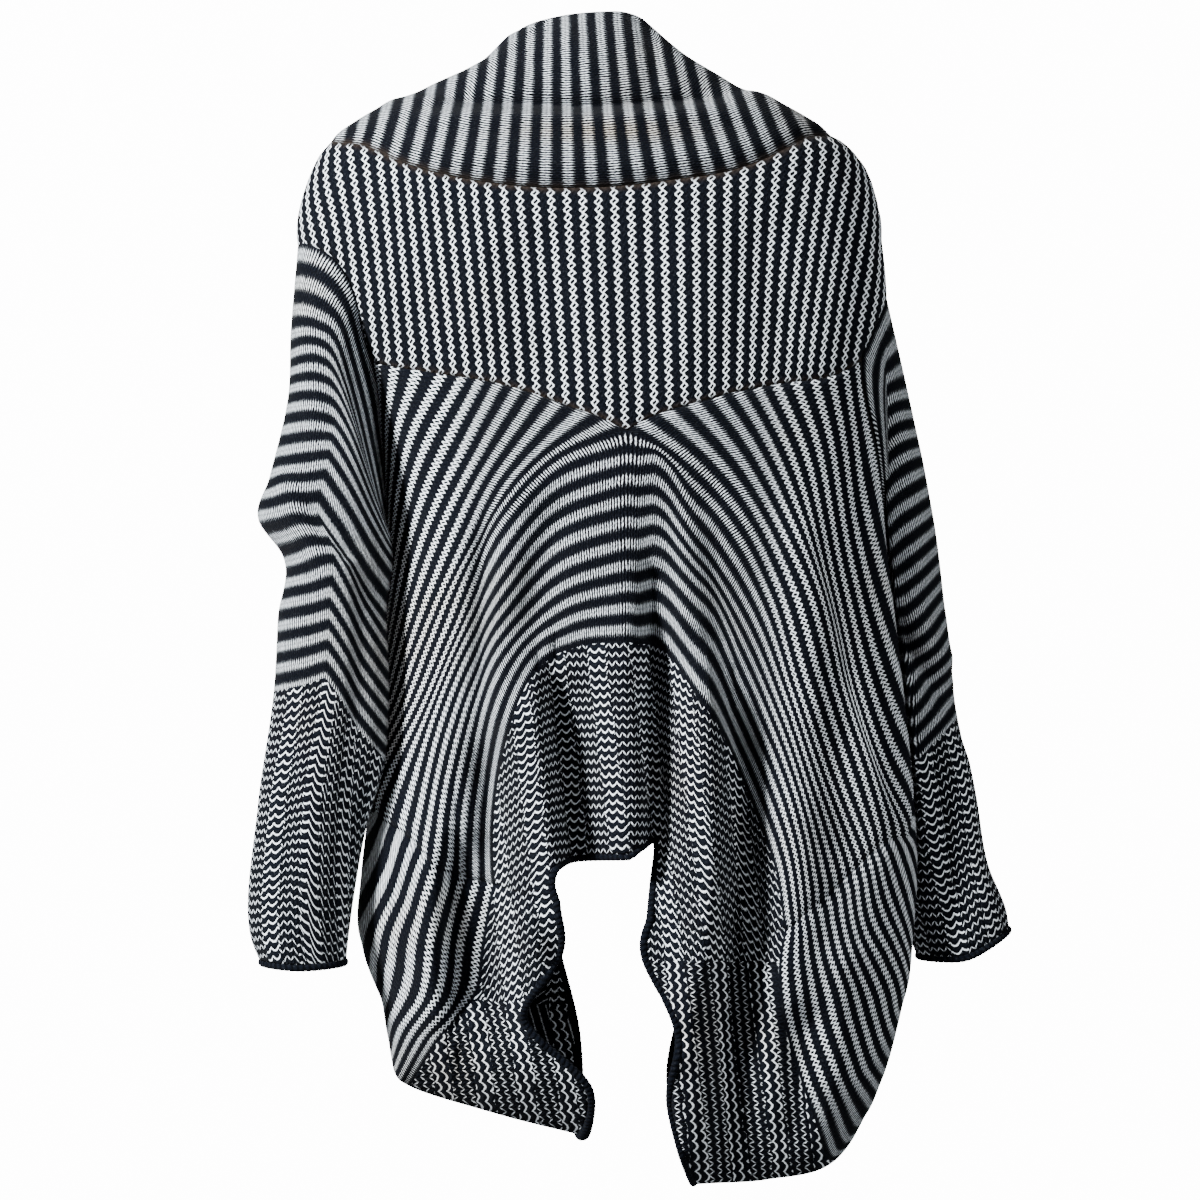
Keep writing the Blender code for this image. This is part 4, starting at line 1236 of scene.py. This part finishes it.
# %% [markdown]
# ## The stitch group
# Seen from the knit side a stitch is a V of two legs; seen from the purl side a row is a wave
# of linked loops. Both come from one idea: bend the row count by a shape that repeats once a
# stitch. A triangle wave gives the V, two waving strands give the loops. The distance from the
# middle of a light stripe, or of a light row in the marl, says which yarn shows, and the legs
# get narrower towards the stripe's sides. The fraction of the row and the distance from the
# middle of the leg say how far across the strand we are, which gives the height.

# %% Stitch group
tree, given, result = new_group(
    "knitted_rows",
    [("Stitches", "NodeSocketVector", None), ("Purl", "NodeSocketFloat", 0.0),
     ("Marl Stitches", "NodeSocketVector", None), ("Marl", "NodeSocketFloat", 0.0),
     ("Rib", "NodeSocketFloat", 0.0), ("Uneven", "NodeSocketFloat", 0.22),
     ("Light Width", "NodeSocketFloat", 1.12)],
    [("Light", "NodeSocketFloat"), ("Height", "NodeSocketFloat"), ("Strand", "NodeSocketFloat")],
)
in_marl = calc(tree, "GREATER_THAN", given["Marl"], 0.5)
chosen = tree.nodes.new("ShaderNodeMix")
chosen.data_type = "VECTOR"
for socket, value in ((0, in_marl), (4, given["Stitches"]), (5, given["Marl Stitches"])):
    tree.links.new(value, chosen.inputs[socket])
counted = chosen.outputs[1]
split = tree.nodes.new("ShaderNodeSeparateXYZ")
tree.links.new(counted, split.inputs[0])
u, v = split.outputs[0], split.outputs[1]
drift = calc(tree, "SUBTRACT", noise(tree, counted, 0.55, 1.0), 0.5)
shake = calc(tree, "SUBTRACT", noise(tree, counted, 2.3, 2.0), 0.5)
shake_u = calc(tree, "SUBTRACT", noise(tree, combine(tree, v, u, 7.3), 2.1, 2.0), 0.5)
uneven = given["Uneven"]
u = calc(tree, "ADD", u, calc(tree, "MULTIPLY", calc(tree, "ADD", shake_u, drift), uneven))
v = calc(tree, "ADD", v, calc(tree, "MULTIPLY", calc(tree, "ADD", shake, drift), uneven))
arc_u = calc(tree, "MULTIPLY", u, 0.75)
rib = calc(tree, "COSINE", calc(tree, "MULTIPLY", given["Rib"], 2*np.pi))
rib = calc(tree, "GREATER_THAN", calc(tree, "ADD", rib, calc(
    tree, "MULTIPLY", drift, 1.2)), 0.2)
rib = calc(tree, "MULTIPLY", rib, in_marl)

triangle = calc(tree, "PINGPONG", u, 0.5)
knit_v = calc(tree, "ADD", v, calc(tree, "MULTIPLY", triangle, mix(tree, in_marl, 1.6, 2.3)))
arc = calc(tree, "ABSOLUTE", calc(tree, "SINE", calc(tree, "MULTIPLY", arc_u, np.pi)))
arc_v = calc(tree, "SUBTRACT", v, calc(tree, "MULTIPLY", arc, 0.9))
bent = mix(tree, given["Purl"], knit_v, v)
bent = mix(tree, rib, bent, arc_v)
strand = noise(tree, combine(tree, calc(tree, "MULTIPLY", u, 6.0), calc(
    tree, "MULTIPLY", bent, 1.3)), 1.6, 2.0)
ragged = calc(tree, "SUBTRACT", strand, 0.5)

# the leg of a stitch: 0 on its middle line, 1 in the slit beside it
leg = calc(tree, "SUBTRACT", 1.0, calc(
    tree, "MULTIPLY", calc(tree, "PINGPONG", u, 0.25), 4.0))
# rows away from the middle of the light stripe, and of the light row in the marl
from_stripe = calc(tree, "SUBTRACT", calc(tree, "FLOORED_MODULO", bent, 4.0), 2.0)
from_row = calc(tree, "SUBTRACT", calc(
    tree, "FLOORED_MODULO", calc(tree, "SUBTRACT", bent, 0.5), 2.0), 1.0)


def soft_below(value, limit, softness):
    """1 where a value is under a limit, 0 above, and a straight ramp between."""
    ramp = calc(tree, "DIVIDE", calc(tree, "SUBTRACT", limit, value), softness)
    node = calc(tree, "ADD", ramp, 0.5)
    node.node.use_clamp = True
    return node


away = calc(tree, "ABSOLUTE", calc(tree, "ADD", from_stripe, calc(tree, "MULTIPLY", ragged, 0.5)))
taper = calc(tree, "DIVIDE", away, given["Light Width"])
leg_width = calc(tree, "SUBTRACT", 0.36, calc(tree, "MULTIPLY", calc(
    tree, "POWER", taper, 2.0), 0.42))
knit_light = soft_below(leg, leg_width, 0.48)
wave = calc(tree, "MULTIPLY", u, 2*np.pi)
right = calc(tree, "ADD", calc(tree, "MULTIPLY", calc(tree, "COSINE", wave), 0.42), 0.40)
left = calc(tree, "SUBTRACT", calc(tree, "MULTIPLY", calc(
    tree, "COSINE", calc(tree, "ADD", wave, 1.8)), 0.40), 0.40)
from_pair = calc(tree, "SUBTRACT", calc(tree, "FLOORED_MODULO", calc(
    tree, "ADD", bent, 1.0), 2.0), 1.0)


def to_strands(rows_away):
    """Distance to the nearer of two waving strands, one on each side of a row's middle."""
    sides = [calc(tree, "ABSOLUTE", calc(tree, "SUBTRACT", rows_away, side))
             for side in (right, left)]
    return calc(tree, "ADD", calc(tree, "MINIMUM", *sides), calc(tree, "MULTIPLY", ragged, 0.70))


near_strand = to_strands(from_pair)
purl_light = soft_below(to_strands(from_stripe), 0.23, 0.22)
thin = calc(tree, "ADD", calc(tree, "ABSOLUTE", from_row), calc(tree, "MULTIPLY", ragged, 0.50))
thin = calc(tree, "ADD", thin, calc(tree, "MULTIPLY", calc(
    tree, "POWER", leg, 3.0), mix(tree, rib, 0.14, 0.0)))
marl_light = soft_below(thin, mix(tree, rib, 0.14, 0.19), 0.20)
stripe_light = mix(tree, given["Purl"], knit_light, purl_light)
light = mix(tree, in_marl, stripe_light, marl_light)

row = calc(tree, "FLOOR", bent)
from_middle = calc(tree, "ABSOLUTE", calc(tree, "SUBTRACT", calc(
    tree, "MULTIPLY", calc(tree, "SUBTRACT", bent, row), 2.0), 1.0))
across_strand = calc(tree, "SUBTRACT", 1.0, calc(tree, "MULTIPLY", calc(
    tree, "POWER", from_middle, 3.0), 0.75))
leg_height = calc(tree, "SUBTRACT", 1.0, calc(tree, "MULTIPLY", calc(
    tree, "POWER", leg, 2.0), 0.85))
knit_height = calc(tree, "MULTIPLY", across_strand, leg_height)
purl_height = calc(tree, "SUBTRACT", 1.0, calc(tree, "MINIMUM", near_strand, 0.6))
height = mix(tree, given["Purl"], knit_height, purl_height)
height = mix(tree, rib, height, calc(tree, "POWER", across_strand, 0.8))
tree.links.new(light, result["Light"])
tree.links.new(height, result["Height"])
tree.links.new(strand, result["Strand"])
stitch_group = tree
print("stitch group nodes:", len(tree.nodes))

# %% [markdown]
# ## The yarn group
# The yarn is soft and a little hairy. Light strands are a cool off-white with a trace of
# cream here and there, dark ones a blue-black, and both lose some of their colour where loose
# hairs of the other cross them. Between the strands the colour is darkened as painted shade,
# and along seams it turns dark brown as painted seam shade.

# %% Yarn group
tree, given, result = new_group(
    "brushed_yarn",
    [("Light", "NodeSocketFloat", 0.0), ("Height", "NodeSocketFloat", 1.0),
     ("Strand", "NodeSocketFloat", 0.5), ("Place", "NodeSocketVector", None),
     ("Seam", "NodeSocketFloat", 0.0), ("Warm", "NodeSocketFloat", 0.0),
     ("Light Yarn", "NodeSocketColor", (0.80, 0.87, 0.93, 1)),
     ("Warm Yarn", "NodeSocketColor", (0.66, 0.58, 0.47, 1)),
     ("Dark Yarn", "NodeSocketColor", (0.0018, 0.0026, 0.0048, 1)),
     # the dark brown of the painted shade along seams
     ("Seam Shade Color", "NodeSocketColor", (0.020, 0.015, 0.012, 1)),
     ("Gap Shade Depth", "NodeSocketFloat", 0.75)],
    [("Color", "NodeSocketColor"), ("Roughness", "NodeSocketFloat"), ("Bump", "NodeSocketFloat")],
)
patches = noise(tree, given["Place"], 9.0, 2.0)
warm = calc(tree, "MULTIPLY", calc(
    tree, "MAXIMUM", calc(tree, "SUBTRACT", patches, 0.55), 0.0), 2.2)
# the Warm mark brings in given beige patches; on the collar it is painted shade below the roll
warm = calc(tree, "MAXIMUM", warm, given["Warm"])
light_yarn = mix(tree, warm, given["Light Yarn"], given["Warm Yarn"], "RGBA")
hairs = noise(tree, given["Place"], 900.0, 2.0)
stray = calc(tree, "MULTIPLY", calc(
    tree, "MAXIMUM", calc(tree, "SUBTRACT", hairs, 0.52), 0.0), 0.9)
light = calc(tree, "MULTIPLY", given["Light"], calc(tree, "SUBTRACT", 1.0, calc(
    tree, "MULTIPLY", stray, 0.9)))
light = calc(tree, "ADD", light, calc(tree, "MULTIPLY", calc(
    tree, "SUBTRACT", 1.0, given["Light"]), calc(tree, "MULTIPLY", stray, 0.05)))
yarn = mix(tree, light, given["Dark Yarn"], light_yarn, "RGBA")
# the seam mark mixes in dark brown: painted shade along the seams
yarn = mix(tree, given["Seam"], yarn, given["Seam Shade Color"], "RGBA")
# the colour is darkened where the strands are low, between them: painted shade
gap = calc(tree, "SUBTRACT", 1.0, calc(tree, "MULTIPLY", given["Gap Shade Depth"], calc(
    tree, "SUBTRACT", 1.0, calc(tree, "MAXIMUM", given["Height"], 0.0))))
gap_shade_and_strand_tone = calc(tree, "MULTIPLY", gap, calc(tree, "ADD", 0.55, calc(
    tree, "MULTIPLY", given["Strand"], 0.8)))
scale = tree.nodes.new("ShaderNodeVectorMath")
scale.operation = "SCALE"
tree.links.new(yarn, scale.inputs[0])
tree.links.new(gap_shade_and_strand_tone, scale.inputs["Scale"])
tree.links.new(scale.outputs[0], result["Color"])
tree.links.new(calc(tree, "SUBTRACT", 0.96, calc(tree, "MULTIPLY", given["Strand"], 0.16)),
               result["Roughness"])
bump = calc(tree, "ADD", given["Height"], calc(tree, "MULTIPLY", given["Strand"], 0.35))
tree.links.new(bump, result["Bump"])
yarn_group = tree
print("yarn group nodes:", len(tree.nodes))

# %% [markdown]
# ## Knit materials
# Each panel has an outside and an inside material: the same yarn and rows, with knit and purl
# changed round. Only the numbers differ from panel to panel. The sheen is a fixed value of
# the shader: wool catches a soft light at its edges.

# %% Materials


def add_group(nodes, group):
    """A node group placed in a material."""
    node = nodes.new("ShaderNodeGroup")
    node.node_tree = group
    return node


def knit_finish(name, inside=False, uneven=0.22, gap=0.85):
    """A knitted finish: stitches from the UV map, yarn colours from the rows, painted shade
    between the strands and bump from the strands' height."""
    material = bpy.data.materials.new(name)
    material.use_nodes = True
    tree = material.node_tree
    shader = tree.nodes["Principled BSDF"]
    counted = tree.nodes.new("ShaderNodeUVMap")
    counted.uv_map = "stitches"
    face = tree.nodes.new("ShaderNodeAttribute")
    face.attribute_name = "purl"
    stitches = add_group(tree.nodes, stitch_group)
    tree.links.new(counted.outputs[0], stitches.inputs["Stitches"])
    loose = tree.nodes.new("ShaderNodeUVMap")
    loose.uv_map = "marl_stitches"
    tree.links.new(loose.outputs[0], stitches.inputs["Marl Stitches"])
    for label in ("Marl", "Rib"):
        mark = tree.nodes.new("ShaderNodeAttribute")
        mark.attribute_name = label.lower()
        tree.links.new(mark.outputs["Fac"], stitches.inputs[label])
    purl = calc(tree, "SUBTRACT", 1.0, face.outputs["Fac"]) if inside else face.outputs["Fac"]
    tree.links.new(purl, stitches.inputs["Purl"])
    stitches.inputs["Uneven"].default_value = uneven
    yarn = add_group(tree.nodes, yarn_group)
    for label in ("Light", "Height", "Strand"):
        tree.links.new(stitches.outputs[label], yarn.inputs[label])
    place = tree.nodes.new("ShaderNodeTexCoord")
    tree.links.new(place.outputs["Object"], yarn.inputs["Place"])
    # Seam paints dark brown shade along seams; Warm on the collar paints beige shade below the
    # roll
    for label in ("Seam", "Warm"):
        mark = tree.nodes.new("ShaderNodeAttribute")
        mark.attribute_name = label.lower()
        tree.links.new(mark.outputs["Fac"], yarn.inputs[label])
    # gap sets how dark the painted shade between the strands is
    yarn.inputs["Gap Shade Depth"].default_value = gap
    tree.links.new(yarn.outputs["Color"], shader.inputs["Base Color"])
    tree.links.new(yarn.outputs["Roughness"], shader.inputs["Roughness"])
    bump = tree.nodes.new("ShaderNodeBump")
    bump.inputs["Strength"].default_value = 0.7
    bump.inputs["Distance"].default_value = 0.0012
    tree.links.new(yarn.outputs["Bump"], bump.inputs["Height"])
    tree.links.new(bump.outputs[0], shader.inputs["Normal"])
    shader.inputs["Sheen Weight"].default_value = 0.008
    shader.inputs["Sheen Roughness"].default_value = 0.5
    shader.inputs["Specular IOR Level"].default_value = 0.02
    return material


def edge_finish(name):
    """The dark rolled edges: blue-black yarn whose strands run round each stitch."""
    material = bpy.data.materials.new(name)
    material.use_nodes = True
    tree = material.node_tree
    shader = tree.nodes["Principled BSDF"]
    counted = tree.nodes.new("ShaderNodeUVMap")
    counted.uv_map = "stitches"
    split = tree.nodes.new("ShaderNodeSeparateXYZ")
    tree.links.new(counted.outputs[0], split.inputs[0])
    slant = calc(tree, "ADD", split.outputs[0], calc(tree, "MULTIPLY", split.outputs[1], 0.25))
    beat = calc(tree, "ABSOLUTE", calc(tree, "SINE", calc(tree, "MULTIPLY", slant, np.pi)))
    yarn = add_group(tree.nodes, yarn_group)
    # the stitch's height also darkens the colour between stitches: painted shade
    tree.links.new(beat, yarn.inputs["Height"])
    strand = noise(tree, combine(tree, calc(tree, "MULTIPLY", split.outputs[0], 5.0),
                                 split.outputs[1]), 2.0)
    tree.links.new(strand, yarn.inputs["Strand"])
    place = tree.nodes.new("ShaderNodeTexCoord")
    tree.links.new(place.outputs["Object"], yarn.inputs["Place"])
    tree.links.new(yarn.outputs["Color"], shader.inputs["Base Color"])
    tree.links.new(yarn.outputs["Roughness"], shader.inputs["Roughness"])
    bump = tree.nodes.new("ShaderNodeBump")
    bump.inputs["Strength"].default_value = 0.6
    bump.inputs["Distance"].default_value = 0.0008
    tree.links.new(yarn.outputs["Bump"], bump.inputs["Height"])
    tree.links.new(bump.outputs[0], shader.inputs["Normal"])
    shader.inputs["Sheen Weight"].default_value = 0.006
    shader.inputs["Sheen Roughness"].default_value = 0.5
    shader.inputs["Specular IOR Level"].default_value = 0.02
    return material


SLOTS = {
    "lower_back": "lower_back_knit", "back_yoke": "yoke_knit", "collar": "collar_knit",
    "front_left": "front_left_knit", "front_right": "front_right_knit",
    "sleeve_left": "sleeve_left_knit", "sleeve_right": "sleeve_right_knit",
}
for part, slot in SLOTS.items():
    mesh = pieces[part].data
    mesh.materials.append(knit_finish(slot + "_outside"))
    mesh.materials.append(knit_finish(slot + "_inside", inside=True))
dark_edge = edge_finish("dark_edge_yarn")
for part in ("edge_binding", "cuff_edge_left", "cuff_edge_right"):
    pieces[part].data.materials.append(dark_edge)
print("materials:", len(bpy.data.materials))

# %% [markdown]
# ## Riding on the frame
# The garment has no joints, so every piece rides on the one body. Each piece stands for the
# plain solid of the same name, which is hidden, and the size of each panel's cut is printed.

# %% Ride, replace, print cut sizes
RESTS = {
    "lower_back": ("back_yoke_knit", "front_left_knit", "front_right_knit"),
    "back_yoke": ("collar_knit", "front_left_knit", "front_right_knit"),
    "front_left": ("back_yoke_knit", "collar_knit"),
    "front_right": ("back_yoke_knit", "collar_knit"),
    "collar": ("back_yoke_knit",),
    "sleeve_left": ("back_yoke_knit", "front_left_knit"),
    "sleeve_right": ("back_yoke_knit", "front_right_knit"),
}
for part, piece in pieces.items():
    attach(piece, "root")
    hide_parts(part)
for part, names in RESTS.items():
    wide, tall, area = sizes[part]
    print("%s: cut %.0f x %.0f mm, area %.3f m2" % (part, wide/MM, tall/MM, area))

# %% [markdown]
# ## Studio
# A pale floor that curves up into a pale backdrop, a soft light above on the left that shows
# up the pleats, two weaker ones on the right and in front, and a faint glow all round. The
# backdrop glows only where the camera sees it, so it stays pale without lighting the cloth,
# and its back can be seen through, so that the fronts can be looked at too.

# %% Studio
floor_profile = np.array([
    # depth, height
    (-4.5, -1.15), (0.9, -1.15), (1.2, -1.12), (1.45, -1.02), (1.6, -0.8), (1.65, -0.4),
    (1.65, 2.6),
])
wide = np.array([-4.5, 4.5])
sheet_points = np.stack(np.broadcast_arrays(
    wide[None, :], floor_profile[:, :1], floor_profile[:, 1:]), -1).reshape(-1, 3)
index = np.arange(len(sheet_points)).reshape(-1, 2)
quads = np.stack([index[:-1, 0], index[:-1, 1], index[1:, 1], index[1:, 0]], -1)
mesh = bpy.data.meshes.new("backdrop")
mesh.from_pydata(sheet_points, [], quads)
mesh.shade_smooth()
backdrop = bpy.data.objects.new("backdrop", mesh)
bpy.context.scene.collection.objects.link(backdrop)
paper = bpy.data.materials.new("pale_paper")
paper.use_nodes = True
tree = paper.node_tree
surface = tree.nodes["Principled BSDF"].inputs
surface["Base Color"].default_value = (0.1, 0.1, 0.1, 1)
surface["Roughness"].default_value = 0.9
surface["Emission Strength"].default_value = 14.0
seen = tree.nodes.new("ShaderNodeLightPath")
tree.links.new(seen.outputs["Is Camera Ray"], surface["Emission Color"])
back = tree.nodes.new("ShaderNodeNewGeometry").outputs["Backfacing"]
tree.links.new(calc(tree, "SUBTRACT", 1.0, back), surface["Alpha"])
mesh.materials.append(paper)

LIGHTS = (
    # name, place, aim, size, watts
    ("key", (-2.3, -2.1, 1.2), (0.0, 0.0, -0.35), 0.6, 780.0),
    ("side", (2.1, -1.7, 0.6), (0.28, 0.0, -0.35), 0.5, 60.0),
    ("fill", (0.3, -3.4, 0.2), (0.0, 0.0, -0.4), 1.6, 16.0),
)
for name, place, aim, size, watts in LIGHTS:
    light_data = bpy.data.lights.new(name, "AREA")
    light_data.shape = "DISK"
    light_data.size = size
    light_data.energy = watts
    light = bpy.data.objects.new(name, light_data)
    toward = np.array(aim) - np.array(place)
    pan = np.arctan2(-toward[0], toward[1])
    tilt = np.arctan2(np.hypot(toward[0], toward[1]), -toward[2])
    light.location = place
    light.rotation_euler = (tilt, 0, pan)
    bpy.context.scene.collection.objects.link(light)
world = bpy.data.worlds.new("studio")
world.use_nodes = True
world.node_tree.nodes["Background"].inputs["Color"].default_value = (0.95, 0.97, 1.0, 1)
world.node_tree.nodes["Background"].inputs["Strength"].default_value = 0.09
bpy.context.scene.world = world
print("lights:", len(LIGHTS))
